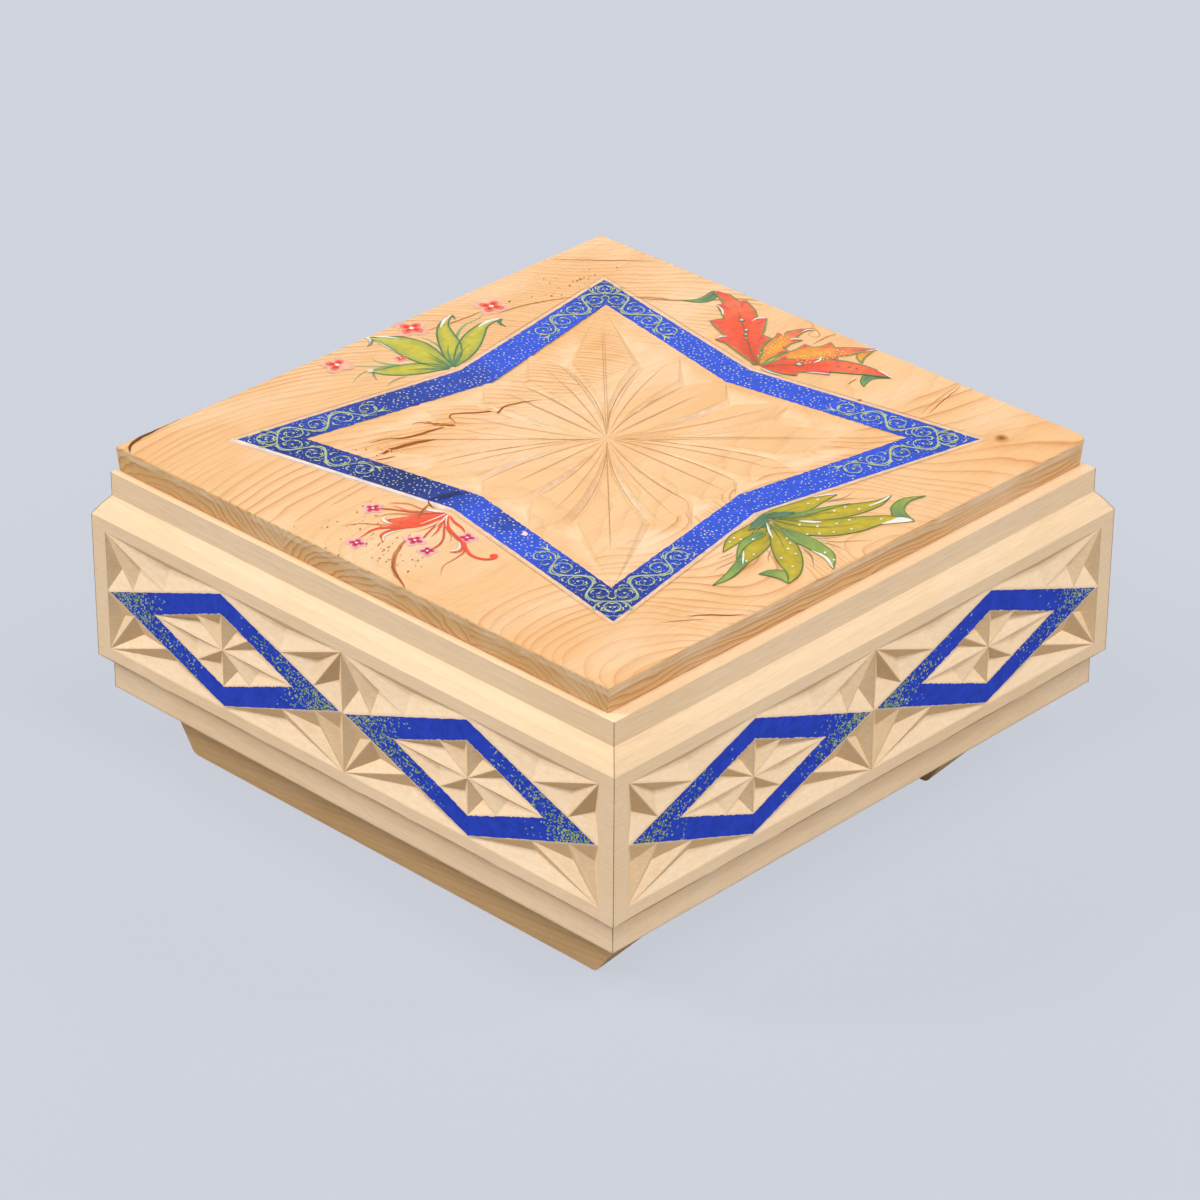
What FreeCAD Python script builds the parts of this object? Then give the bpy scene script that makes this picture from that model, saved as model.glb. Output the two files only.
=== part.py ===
"""A square wooden keepsake box with chip-carved sides, a carved and hinged lid and two runners.

Origin: the middle of the footprint, at the floor. +Z is up and -Y is the front, away from the hinges.
Lengths are in millimetres.
"""
import FreeCAD, Part
import math
import os

import Sketcher
from FreeCAD import Placement, Rotation, Vector

doc = FreeCAD.newDocument("keepsake_box")
sheet = doc.addObject("Spreadsheet::Sheet", "sizes")

SIZES = [
    # body
    ("box_side", 300.0, "outer side of the square, at the carved faces"),
    ("wall_thickness", 23.0, "thickness of the walls, from the carved faces to the inside"),
    ("face_height", 68.6, "height of the carved faces"),
    ("face_edge_radius", 2.0, "rounding of the carved face's lower edge"),
    ("band_height", 16.0, "height of the lower band"),
    ("band_inset", 4.5, "step from the carved face back to the lower band"),
    ("band_edge_radius", 2.5, "rounding of the lower band's bottom edge"),
    ("shoulder_height", 8.4, "height of the sloping shoulder"),
    ("shoulder_break_drop", 3.8, "drop of the shoulder's flatter upper facet"),
    ("shoulder_break_run", 3.2, "run of the shoulder's flatter upper facet"),
    ("collar_inset", 6.3, "step from the carved face back to the collar"),
    ("collar_height", 10.8, "height of the collar under the lid"),
    ("bottom_thickness", 6.0, "thickness of the bottom panel"),
    ("bottom_rebate", 6.0, "depth of the rebate that the bottom panel sits in"),
    # runners
    ("runner_height", 28.0, "height of the runners"),
    ("runner_width", 54.0, "width of a runner"),
    ("runner_inset", 50.0, "from the side of the box to a runner's middle line"),
    ("runner_front_inset", 31.0, "from the box's front to a runner's foot"),
    ("runner_back_inset", 32.2, "from the box's back to a runner's foot"),
    ("runner_undercut", 19.0, "how far a runner's ends lean out on their way up"),
    ("runner_skew", 6.5, "how far a runner's ends are out of square, over its width"),
    ("runner_toe_radius", 4.0, "rounding of the runner's toes"),
    # carving of the sides
    ("field_end_margin", 8.0, "plain wood from the box's corner to the carved field"),
    ("field_top_margin", 5.7, "plain wood above the carved field"),
    ("field_bottom_margin", 7.1, "plain wood under the carved field"),
    ("tip_gap", 1.0, "from a diamond's outer tip to the end of its cell"),
    ("crown_gap", 1.1, "from a diamond's top and bottom to the field's edge"),
    ("diamond_band_at_tips", 28.8, "width of the flat band at the diamond's tips"),
    ("diamond_band_at_crowns", 9.8, "width of the flat band at the diamond's top and bottom"),
    ("corner_chip_depth", 4.0, "depth of the chips outside the diamonds"),
    ("opening_chip_depth", 3.5, "depth of the chips inside the diamonds"),
    # lid
    ("lid_thickness", 11.1, "thickness of the lid boards"),
    ("lid_taper", 4.6, "lean of the lid's edges, in degrees"),
    ("lid_left_inset", 2.45, "from the collar's left face back to the lid's edge"),
    ("lid_right_overhang", 2.35, "from the collar's right face out to the lid's edge"),
    ("lid_front_inset", 5.4, "from the collar's front face back to the lid's edge"),
    ("lid_back_inset", 1.0, "from the collar's back face in to the lid's edge"),
    ("lid_gap", 0.3, "gap between the lid and the collar"),
    ("lid_corner_radius", 6.0, "rounding of the lid's worn corner"),
    ("lid_edge_radius", 0.7, "rounding of the lid's upper edges"),
    ("front_board_width", 74.9, "width of the lid's front board"),
    ("middle_board_width", 105.6, "width of the lid's middle board"),
    # rosette
    ("star_shift_x", 2.7, "star's middle from the lid's middle, along X"),
    ("star_shift_y", 1.2, "star's middle from the lid's middle, along Y"),
    ("star_tip", 89.3, "X and Y of the rosette's tips from its middle"),
    ("star_notch", 72.1, "rosette's middle to its notches"),
    ("bend_radius", 32.0, "where the grooves begin to widen less, from the middle"),
    ("near_groove_end", 72.0, "length of the grooves beside the tips"),
    ("far_groove_end", 62.5, "length of the grooves beside the notches"),
    ("groove_half_width", 3.4, "half width of a groove at its outer end"),
    ("bend_half_width", 2.0, "half width of a groove at the bend radius"),
    ("groove_depth", 2.4, "depth of a groove at its outer end"),
    ("bend_depth", 1.5, "depth of a groove at the bend radius"),
    ("petal_fall", 0.4, "how far a petal falls from its crest to the groove"),
    # hinges
    ("hinge_inset", 65.0, "from the side of the box to a hinge's middle"),
    ("hinge_length", 25.0, "length of a hinge"),
    ("leaf_width", 8.6, "width of a hinge leaf"),
    ("leaf_thickness", 1.0, "thickness of a hinge leaf"),
    ("knuckle_radius", 1.6, "outer radius of the hinge knuckles"),
    ("knuckle_gap", 0.2, "gap between neighbouring knuckles"),
    ("barrel_clearance", 0.3, "gap between the knuckles and the collar"),
    ("pin_radius", 0.8, "radius of the hinge pin"),
    ("pin_clearance", 0.05, "radial clearance of the pin"),
    ("mortise_clearance", 0.1, "side clearance of the leaves in their recesses"),
    ("screw_end_margin", 5.0, "from a leaf's end to its nearer screw"),
    ("screw_setback", 4.6, "from the collar's back face to the screws"),
    ("screw_head_radius", 2.0, "radius of the screw heads"),
    ("screw_radius", 1.1, "radius of the screw shanks"),
    ("screw_length", 8.0, "length of the screws, heads included"),
    ("screw_slot_width", 0.6, "width of the screw slots"),
    ("screw_slot_depth", 0.4, "depth of the screw slots"),
    ("screw_clearance", 0.05, "radial clearance of the screws"),
]

KNUCKLES = 5
EIGHTH_TURN = 45.0

# Where the cuts between chips end on a diamond's side, as shares of it from the tip.
CORNER_CUT_SHARES = (0.22, 0.50)
RAY_CUT_SHARE = 0.62

# How near a chip's deepest point lies to each corner of its triangle, as shares of one.
EVEN_CHIP = (1.0 / 3.0, 1.0 / 3.0, 1.0 / 3.0)
LOWER_LONG_CHIP = (0.22, 0.50, 0.28)
UPPER_TIP_CHIP = (0.22, 0.20, 0.58)

# The rosette's lines bow: their angle, in degrees from the line to the nearest tip, grows evenly
# from the middle to their outer end.
TIP_ANGLES = (0.0, 0.0)
NEAR_GROOVE_ANGLES = (0.0, 13.0)
CREST_ANGLES = (12.0, EIGHTH_TURN / 2)
FAR_GROOVE_ANGLES = (20.7, 33.0)
NOTCH_ANGLES = (EIGHTH_TURN, EIGHTH_TURN)

# How far a cutting tool reaches past the faces that it opens, and how close two points are the same.
CUT_MARGIN = 1.0
SAME_POINT = 1e-4


class Size:
    """A number together with the spreadsheet formula that it comes from."""

    def __init__(self, value, text):
        self.value = value
        self.text = text

    def _join(self, other, sign, value):
        other_text = other.text if isinstance(other, Size) else repr(float(other))
        return Size(value, "(%s %s %s)" % (self.text, sign, other_text))

    def __add__(self, other):
        return self._join(other, "+", self.value + number(other))

    def __sub__(self, other):
        return self._join(other, "-", self.value - number(other))

    def __mul__(self, other):
        return self._join(other, "*", self.value * number(other))

    def __truediv__(self, other):
        return self._join(other, "/", self.value / number(other))

    def __neg__(self):
        return self * -1.0


def number(size):
    return size.value if isinstance(size, Size) else float(size)


def fill_sheet():
    """Write the sizes to the sheet, one row each, and return them by name."""
    table = {}
    for row, (name, value, note) in enumerate(SIZES, start=1):
        sheet.set("A%d" % row, name)
        sheet.set("B%d" % row, repr(value))
        sheet.set("C%d" % row, note)
        sheet.setAlias("B%d" % row, name)
        table[name] = Size(value, "sizes.%s" % name)
    doc.recompute()
    return table


S = fill_sheet()
ZERO = Size(0.0, "0")

# Heights, from the floor up.
band_base = S["runner_height"]
face_base = band_base + S["band_height"]
shoulder_base = face_base + S["face_height"]
collar_base = shoulder_base + S["shoulder_height"]
wall_top = collar_base + S["collar_height"]
lid_base = wall_top + S["lid_gap"]
lid_top = lid_base + S["lid_thickness"]

# Distances from the middle of the box.
face_out = S["box_side"] / 2
cavity_out = face_out - S["wall_thickness"]
band_out = face_out - S["band_inset"]
collar_out = face_out - S["collar_inset"]
bottom_out = cavity_out + S["bottom_rebate"]
lid_left = S["lid_left_inset"] - collar_out
lid_right = collar_out + S["lid_right_overhang"]
lid_front = S["lid_front_inset"] - collar_out
lid_back = collar_out - S["lid_back_inset"]

# The hinge axis runs along X, behind the collar and level with the lid gap.
hinge_y = collar_out + S["barrel_clearance"] + S["knuckle_radius"]
hinge_z = wall_top + S["lid_gap"] / 2
leaf_back = collar_out
leaf_front = leaf_back - S["leaf_width"]
screw_y = leaf_back - S["screw_setback"]


def bind(item, **formulas):
    """Bind properties of an object to sheet formulas; a double underscore stands for a dot."""
    for name, size in formulas.items():
        item.setExpression(name.replace("__", "."), size.text)


def place(item, x=ZERO, y=ZERO, z=ZERO):
    bind(item, Placement__Base__x=x, Placement__Base__y=y, Placement__Base__z=z)


def add(kind, name):
    item = doc.addObject(kind, name)
    item.Label = name
    return item


def box(name, low, high):
    """A block between two corners, each given as three sizes."""
    block = add("Part::Box", name)
    bind(block, Length=high[0] - low[0], Width=high[1] - low[1], Height=high[2] - low[2])
    place(block, *low)
    return block


def cylinder_along_x(name, radius, start, end, y, z):
    rod = add("Part::Cylinder", name)
    rod.Placement = Placement(Vector(), Rotation(Vector(0, 1, 0), 90))
    bind(rod, Radius=radius, Height=end - start)
    place(rod, start, y, z)
    return rod


def fuse(name, items):
    joined = add("Part::MultiFuse", name)
    joined.Shapes = items
    return joined


def cut(name, base, tool):
    result = add("Part::Cut", name)
    result.Base = base
    result.Tool = tool
    return result


def solid_feature(name, shape):
    item = add("Part::Feature", name)
    item.Shape = shape
    return item


def origin_plane(body, role):
    return next(part for part in body.Origin.OriginFeatures if part.Role == role)


def polygon_sketch(body, name, role, loops):
    """A sketch of closed polygons on an origin plane, each corner bound to a pair of sizes."""
    sketch = body.newObject("Sketcher::SketchObject", name)
    sketch.AttachmentSupport = [(origin_plane(body, role), "")]
    sketch.MapMode = "FlatFace"
    for points in loops:
        corners = [Vector(number(u), number(v), 0) for u, v in points]
        first = sketch.GeometryCount
        count = len(corners)
        for i in range(count):
            sketch.addGeometry(Part.LineSegment(corners[i], corners[(i + 1) % count]))
        for i in range(count):
            line = first + i
            following = first + (i + 1) % count
            sketch.addConstraint(Sketcher.Constraint("Coincident", line, 2, following, 1))
        for i, (u, v) in enumerate(points):
            bind_corner(sketch, first + i, "DistanceX", u)
            bind_corner(sketch, first + i, "DistanceY", v)
    return sketch


def bind_corner(sketch, line, kind, size):
    """Hold the start of a line at a bound distance from the sketch's origin."""
    label = "%s%d" % (kind[-1].lower(), line)
    index = sketch.addConstraint(Sketcher.Constraint(kind, -1, 1, line, 1, number(size)))
    sketch.renameConstraint(index, label)
    sketch.setExpression("Constraints.%s" % label, size.text)


def pad(body, name, sketch, length, both_ways=False):
    feature = body.newObject("PartDesign::Pad", name)
    feature.Profile = sketch
    bind(feature, Length=length)
    feature.Midplane = both_ways
    return feature


def chosen_edges(shape, wanted):
    """Names of the edges whose end points pass a test."""
    return ["Edge%d" % i for i, edge in enumerate(shape.Edges, start=1)
            if wanted([vertex.Point for vertex in edge.Vertexes])]


def edges_along_x(shape, y, z):
    """Names of the edges whose ends all lie at one y and one z."""
    return chosen_edges(shape, lambda ends: all(
        abs(end.y - y) < SAME_POINT and abs(end.z - z) < SAME_POINT for end in ends))


def fillet(body, name, base, edge_names, radius):
    feature = body.newObject("PartDesign::Fillet", name)
    feature.Base = (base, edge_names)
    bind(feature, Radius=radius)
    return feature


def pocket(surface_corners, floor_triangles):
    """A closed pocket of flat facets: a lid polygon at the surface and a floor of triangles."""
    faces = [Part.Face(Part.makePolygon(surface_corners + surface_corners[:1]))]
    for a, b, c in floor_triangles:
        faces.append(Part.Face(Part.makePolygon([a, b, c, a])))
    shell = Part.makeShell(faces)
    shell.sewShape()
    solid = Part.makeSolid(shell)
    if solid.Volume < 0:
        solid.reverse()
    return solid


def chip(corners, deepest):
    """A chip cut to one deepest point: a facet falls to it from each side of the outline."""
    sides = zip(corners, corners[1:] + corners[:1])
    return pocket(corners, [(a, b, deepest) for a, b in sides])


def weighted(points, weights):
    total = Vector()
    for point, weight in zip(points, weights):
        total += point * weight
    return total


def between(start, end, share):
    return start + (end - start) * share


def make_wall_blank():
    """One moulded and mitred wall, in the place of the front wall."""
    body = add("PartDesign::Body", "wall_blank")
    break_out = collar_out + S["shoulder_break_run"]
    break_base = collar_base - S["shoulder_break_drop"]
    ledge = band_base + S["bottom_thickness"]
    outline = [
        (cavity_out, ledge), (cavity_out, wall_top), (collar_out, wall_top),
        (collar_out, collar_base), (break_out, break_base), (face_out, shoulder_base),
        (face_out, face_base), (band_out, face_base), (band_out, band_base),
        (bottom_out, band_base), (bottom_out, ledge),
    ]
    profile = polygon_sketch(body, "wall_profile", "YZ_Plane", [[(-out, z) for out, z in outline]])
    rail = pad(body, "wall_rail", profile, S["box_side"], both_ways=True)
    doc.recompute()
    lower = edges_along_x(rail.Shape, -number(band_out), number(band_base))
    rounded = fillet(body, "band_edge", rail, lower, S["band_edge_radius"])
    doc.recompute()
    middle = edges_along_x(rounded.Shape, -number(face_out), number(face_base))
    fillet(body, "face_edge", rounded, middle, S["face_edge_radius"])
    doc.recompute()
    beyond = face_out + CUT_MARGIN
    within = cavity_out - CUT_MARGIN
    right_end = [(within, -within), (beyond, -beyond), (beyond, -within)]
    left_end = [(-u, v) for u, v in right_end]
    mitres = polygon_sketch(body, "mitre_outline", "XY_Plane", [right_end, left_end])
    cutter = body.newObject("PartDesign::Pocket", "mitres")
    cutter.Profile = mitres
    cutter.Midplane = True
    bind(cutter, Length=wall_top * 2 + CUT_MARGIN)
    return body


def side_chips():
    """The chips of one carved face, as solids in the place of the front wall."""
    field_half = number(face_out - S["field_end_margin"])
    field_top = number(shoulder_base - S["field_top_margin"])
    field_bottom = number(face_base + S["field_bottom_margin"])
    middle_z = (field_top + field_bottom) / 2
    cell_half = field_half / 2
    half_height = (field_top - field_bottom) / 2
    chips = []
    for cell_x in (-cell_half, cell_half):
        for side in (-1, 1):
            for up in (-1, 1):
                def at(u, v, depth=0.0, side=side, up=up, cell_x=cell_x):
                    return Vector(cell_x + side * u, depth - number(face_out), middle_z + up * v)
                chips += corner_chips(at, cell_half, half_height, up)
                chips += opening_chips(at, cell_half, half_height, up)
    return chips


def corner_chips(at, cell_half, half_height, up):
    """Three chips that fan from a corner of the cell to one side of its diamond."""
    depth = number(S["corner_chip_depth"])
    tip_u = cell_half - number(S["tip_gap"])
    crown_v = half_height - number(S["crown_gap"])
    corner = at(cell_half, half_height)
    tip = at(tip_u, 0)
    crown = at(0, crown_v)
    first, second = (between(tip, crown, share) for share in CORNER_CUT_SHARES)
    sink = Vector(0, depth, 0)
    long_chip = EVEN_CHIP if up > 0 else LOWER_LONG_CHIP
    return [
        chip([corner, at(cell_half, 0), tip, first], weighted((corner, tip, first), EVEN_CHIP) + sink),
        chip([corner, first, second], weighted((corner, first, second), EVEN_CHIP) + sink),
        chip([corner, second, crown, at(0, half_height)],
             weighted((corner, second, crown), long_chip) + sink),
    ]


def opening_chips(at, cell_half, half_height, up):
    """Two chips of one quarter of the diamond's opening, parted by a ray from its middle."""
    sink = Vector(0, number(S["opening_chip_depth"]), 0)
    middle = at(0, 0)
    tip = at(cell_half - number(S["tip_gap"] + S["diamond_band_at_tips"]), 0)
    crown = at(0, half_height - number(S["crown_gap"] + S["diamond_band_at_crowns"]))
    ray_end = between(tip, crown, RAY_CUT_SHARE)
    tip_chip = UPPER_TIP_CHIP if up > 0 else EVEN_CHIP
    return [
        chip([middle, tip, ray_end], weighted((middle, tip, ray_end), tip_chip) + sink),
        chip([middle, ray_end, crown], weighted((middle, ray_end, crown), EVEN_CHIP) + sink),
    ]


def rosette_chips():
    """Sixteen bowed grooves between flat petals, which fill the star on the lid."""
    middle = Vector(number((lid_left + lid_right) / 2 + S["star_shift_x"]),
                    number((lid_front + lid_back) / 2 + S["star_shift_y"]), number(lid_top))
    tip_reach = number(S["star_tip"]) * math.sqrt(2.0)
    notch_reach = number(S["star_notch"])
    chips = []
    for quarter in range(4):
        for side in (-1, 1):
            def at(radius, angle, depth=0.0, quarter=quarter, side=side):
                turn = math.radians(EIGHTH_TURN + quarter * 2 * EIGHTH_TURN + side * angle)
                return middle + Vector(radius * math.cos(turn), radius * math.sin(turn), -depth)
            tip_crest = crest_line(at, TIP_ANGLES, tip_reach)
            side_crest = crest_line(at, CREST_ANGLES, side_reach(tip_reach, notch_reach))
            notch_crest = crest_line(at, NOTCH_ANGLES, notch_reach)
            chips.append(groove(at, tip_crest, side_crest, NEAR_GROOVE_ANGLES, number(S["near_groove_end"])))
            chips.append(groove(at, side_crest, notch_crest, FAR_GROOVE_ANGLES, number(S["far_groove_end"])))
    return chips


def side_reach(tip_reach, notch_reach):
    """From the middle to the point of the star's side midway in angle between tip and notch."""
    half_angle = math.radians(EIGHTH_TURN / 2)
    return 2 * tip_reach * notch_reach * math.cos(half_angle) / (tip_reach + notch_reach)


def bowed(angles, share):
    return angles[0] + (angles[1] - angles[0]) * share


def stations(end_radius):
    """The radii at which a line of the rosette has its points."""
    bend = number(S["bend_radius"])
    return [bend / 2, bend, (bend + end_radius) / 2, end_radius]


def crest_line(at, angles, reach):
    """The points of a petal's crest, from the middle out to the star's outline."""
    groove_end = number(S["near_groove_end"] + S["far_groove_end"]) / 2
    radii = stations(groove_end) + [reach]
    return [at(radius, bowed(angles, radius / reach)) for radius in radii]


def groove(at, first_crest, second_crest, angles, end_radius):
    """The pocket between two petal crests: two falling petal halves and a steep bowed groove."""
    bend = number(S["bend_radius"])
    middle = at(0, 0)
    rows = []
    for radius, crest_a, crest_b in zip(stations(end_radius), first_crest, second_crest):
        if radius <= bend:
            half_width = number(S["bend_half_width"]) * radius / bend
            depth = number(S["bend_depth"]) * radius / bend
        else:
            share = (radius - bend) / (end_radius - bend)
            half_width = bowed((number(S["bend_half_width"]), number(S["groove_half_width"])), share)
            depth = bowed((number(S["bend_depth"]), number(S["groove_depth"])), share)
        fall = number(S["petal_fall"]) * radius / end_radius
        angle = bowed(angles, radius / end_radius)
        spread = math.degrees(half_width / radius)
        rows.append([crest_a, at(radius, angle - spread, fall), at(radius, angle, depth),
                     at(radius, angle + spread, fall), crest_b])
    floor = [(middle, a, b) for a, b in zip(rows[0], rows[0][1:])]
    for inner, outer in zip(rows, rows[1:]):
        for i in range(len(inner) - 1):
            floor.append((inner[i], outer[i], outer[i + 1]))
            floor.append((inner[i], outer[i + 1], inner[i + 1]))
    outer_a, outer_b = first_crest[-1], second_crest[-1]
    crest_a, edge_a, valley, edge_b, crest_b = rows[-1]
    floor += [(crest_a, outer_a, edge_a), (outer_a, valley, edge_a), (outer_a, outer_b, valley),
              (outer_b, edge_b, valley), (outer_b, crest_b, edge_b)]
    return pocket([middle] + first_crest + second_crest[::-1], floor)


def joined_chips(name, chips):
    """One cutting tool made of many chips that meet along their crests."""
    return solid_feature(name, chips[0].multiFuse(chips[1:]))


def make_lid_panel():
    """The glued lid panel before carving, with leaning edges and one worn corner."""
    body = add("PartDesign::Body", "lid_panel")
    outline = [(lid_left, lid_front), (lid_right, lid_front), (lid_right, lid_back), (lid_left, lid_back)]
    sketch = polygon_sketch(body, "lid_outline", "XY_Plane", [outline])
    bind(sketch, AttachmentOffset__Base__z=lid_top)
    board = pad(body, "lid_board", sketch, S["lid_thickness"])
    board.Reversed = True
    bind(board, TaperAngle=-S["lid_taper"])
    doc.recompute()
    corner = Vector(number(lid_right), number(lid_front), number(lid_top))
    upright = chosen_edges(board.Shape, lambda ends: one_is_at(ends, corner) and not all_on_top(ends))
    rounded = fillet(body, "worn_corner", board, upright, S["lid_corner_radius"])
    doc.recompute()
    fillet(body, "eased_edges", rounded, chosen_edges(rounded.Shape, all_on_top), S["lid_edge_radius"])
    return body


def one_is_at(ends, place_wanted):
    return any(end.distanceToPoint(place_wanted) < SAME_POINT for end in ends)


def all_on_top(ends):
    return all(abs(end.z - number(lid_top)) < SAME_POINT for end in ends)


def hinge_middles():
    out = face_out - S["hinge_inset"]
    return [("left", -out), ("right", out)]


def make_leaf(name, middle_x, knuckle_numbers, plate_low, plate_high, head_up):
    """A hinge leaf: a plate with two countersunk holes, and knuckles around the pin."""
    start = middle_x - S["hinge_length"] / 2
    plate = box(name + "_plate", (start, leaf_front, plate_low),
                (start + S["hinge_length"], leaf_back, plate_high))
    pitch = S["hinge_length"] / KNUCKLES
    solids = [plate]
    for i in knuckle_numbers:
        low = start + pitch * i + S["knuckle_gap"] / 2
        high = start + pitch * (i + 1) - S["knuckle_gap"] / 2
        solids.append(cylinder_along_x("%s_knuckle_%d" % (name, i), S["knuckle_radius"],
                                       low, high, hinge_y, hinge_z))
        solids.append(box("%s_tongue_%d" % (name, i), (low, leaf_back, plate_low),
                          (high, hinge_y, plate_high)))
    blank = fuse(name + "_blank", solids)
    bore = cylinder_along_x(name + "_bore", S["pin_radius"] + S["pin_clearance"],
                            start - CUT_MARGIN, start + S["hinge_length"] + CUT_MARGIN, hinge_y, hinge_z)
    holes = [screw_hole("%s_hole_%d" % (name, i), x, plate_high if head_up else plate_low, head_up)
             for i, x in enumerate(screw_places(middle_x))]
    return cut(name, blank, fuse(name + "_cuts", [bore] + holes))


def screw_places(middle_x):
    half = S["hinge_length"] / 2 - S["screw_end_margin"]
    return [middle_x - half, middle_x + half]


def screw_form(name, x, head_z, head_up, extra):
    """A countersunk screw's outline: a head cone one leaf deep, and a plain shank."""
    sign = 1.0 if head_up else -1.0
    turn = Rotation(Vector(1, 0, 0), 180 if head_up else 0)
    cone = add("Part::Cone", name + "_head")
    cone.Placement = Placement(Vector(), turn)
    bind(cone, Radius1=S["screw_head_radius"] + extra, Radius2=S["screw_radius"] + extra,
         Height=S["leaf_thickness"])
    place(cone, x, screw_y, head_z)
    shank = add("Part::Cylinder", name + "_shank")
    shank.Placement = Placement(Vector(), turn)
    bind(shank, Radius=S["screw_radius"] + extra, Height=S["screw_length"] - S["leaf_thickness"])
    place(shank, x, screw_y, head_z - S["leaf_thickness"] * sign)
    return fuse(name + "_form", [cone, shank])


def screw_hole(name, x, head_z, head_up):
    return screw_form(name, x, head_z, head_up, S["screw_clearance"])


def make_screw(name, x, head_z, head_up):
    form = screw_form(name, x, head_z, head_up, ZERO)
    half = S["screw_slot_width"] / 2
    reach = S["screw_head_radius"] + CUT_MARGIN
    depth = S["screw_slot_depth"]
    low_z = head_z - depth if head_up else head_z - CUT_MARGIN
    high_z = head_z + CUT_MARGIN if head_up else head_z + depth
    slot = box(name + "_slot", (x - reach, screw_y - half, low_z), (x + reach, screw_y + half, high_z))
    return cut(name, form, slot)


def make_hinges():
    """Both hinges with their pins, and the tools that cut their recesses and pilot holes."""
    nodes = []
    screws = {"box": [], "lid": []}
    recesses = {"box": [], "lid": []}
    box_plate = (wall_top - S["leaf_thickness"], wall_top)
    lid_plate = (lid_base, lid_base + S["leaf_thickness"])
    for side, middle_x in hinge_middles():
        name = "hinge_" + side
        nodes.append(make_leaf(name + "_box_leaf", middle_x, range(0, KNUCKLES, 2), *box_plate, True))
        nodes.append(make_leaf(name + "_lid_leaf", middle_x, range(1, KNUCKLES, 2), *lid_plate, False))
        start = middle_x - S["hinge_length"] / 2
        nodes.append(cylinder_along_x(name + "_pin", S["pin_radius"], start,
                                      start + S["hinge_length"], hinge_y, hinge_z))
        slack = S["mortise_clearance"]
        for part, (low, high) in (("box", box_plate), ("lid", lid_plate)):
            recesses[part].append(box(
                "%s_%s_recess" % (name, part), (start - slack, leaf_front - slack, low),
                (start + S["hinge_length"] + slack, hinge_y, high)))
            head_up = part == "box"
            head_z = wall_top if head_up else lid_base
            for i, x in enumerate(screw_places(middle_x)):
                label = "%s_%s_%d" % (name, part, i)
                recesses[part].append(screw_hole(label + "_pilot", x, head_z, head_up))
                screws[part].append(make_screw(label + "_screw", x, head_z, head_up))
    tools = {part: fuse("hinge_cuts_" + part, items) for part, items in recesses.items()}
    for part, items in screws.items():
        group = add("Part::Compound", "hinge_screws_" + part)
        group.Links = items
        nodes.append(group)
    return nodes, tools


def make_walls(hinge_recess):
    """Four carved walls from one blank; the back wall also takes the hinges."""
    blank = make_wall_blank()
    doc.recompute()
    chips = joined_chips("side_chips", side_chips())
    walls = []
    for name, angle in (("wall_front", 0), ("wall_right", 90), ("wall_back", 180), ("wall_left", 270)):
        takes_hinges = name == "wall_back"
        wall = cut(name + "_carved" if takes_hinges else name, blank, chips)
        wall.Placement = Placement(Vector(), Rotation(Vector(0, 0, 1), angle))
        if takes_hinges:
            wall = cut(name, wall, hinge_recess)
        walls.append(wall)
    return walls


def make_lid_boards(hinge_recess):
    """The carved lid, parted at its two glue joints; the back board also takes the hinges."""
    panel = make_lid_panel()
    doc.recompute()
    chips = joined_chips("rosette_chips", rosette_chips())
    carved = cut("lid_carved", panel, chips)
    first_joint = lid_front + S["front_board_width"]
    second_joint = first_joint + S["middle_board_width"]
    spans = [("lid_board_front", lid_front - CUT_MARGIN, first_joint),
             ("lid_board_middle", first_joint, second_joint),
             ("lid_board_back", second_joint, lid_back + CUT_MARGIN)]
    boards = []
    for name, low, high in spans:
        slab = box(name + "_slab", (lid_left - CUT_MARGIN, low, lid_base - CUT_MARGIN),
                   (lid_right + CUT_MARGIN, high, lid_top + CUT_MARGIN))
        takes_hinges = name == "lid_board_back"
        board = add("Part::Common", name + "_carved" if takes_hinges else name)
        board.Base = carved
        board.Tool = slab
        if takes_hinges:
            board = cut(name, board, hinge_recess)
        boards.append(board)
    return boards


def make_runner(name, x):
    """A runner along Y, with undercut ends that are sawn a little out of square, and rounded toes."""
    body = add("PartDesign::Body", name)
    front_foot = S["runner_front_inset"] - face_out
    back_foot = face_out - S["runner_back_inset"]
    outline = [(front_foot, ZERO), (back_foot, ZERO),
               (back_foot + S["runner_undercut"], S["runner_height"]),
               (front_foot - S["runner_undercut"], S["runner_height"])]
    sketch = polygon_sketch(body, name + "_side", "YZ_Plane", [outline])
    bind(sketch, AttachmentOffset__Base__z=-S["runner_width"] / 2)
    bar = pad(body, name + "_bar", sketch, S["runner_width"])
    bar.UseCustomVector = True
    bar.AlongSketchNormal = True
    bar.Direction = Vector(1, 0, 0)
    bind(bar, Direction__y=S["runner_skew"] / S["runner_width"])
    doc.recompute()
    fillet(body, name + "_toes", bar, chosen_edges(bar.Shape, is_toe), S["runner_toe_radius"])
    place(body, x)
    return body


def is_toe(ends):
    """True for an edge on the floor that runs across the runner, not along it."""
    on_floor = all(abs(end.z) < SAME_POINT for end in ends)
    return on_floor and abs(ends[0].y - ends[-1].y) < number(S["runner_width"])


def make_bottom():
    low = (-bottom_out, -bottom_out, band_base)
    high = (bottom_out, bottom_out, band_base + S["bottom_thickness"])
    return box("bottom_panel", low, high)


def build():
    hinge_nodes, recesses = make_hinges()
    nodes = make_walls(recesses["box"])
    nodes += make_lid_boards(recesses["lid"])
    nodes.append(make_bottom())
    runner_out = face_out - S["runner_inset"]
    nodes.append(make_runner("runner_left", -runner_out))
    nodes.append(make_runner("runner_right", runner_out))
    nodes += hinge_nodes
    doc.recompute()
    return nodes


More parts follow.
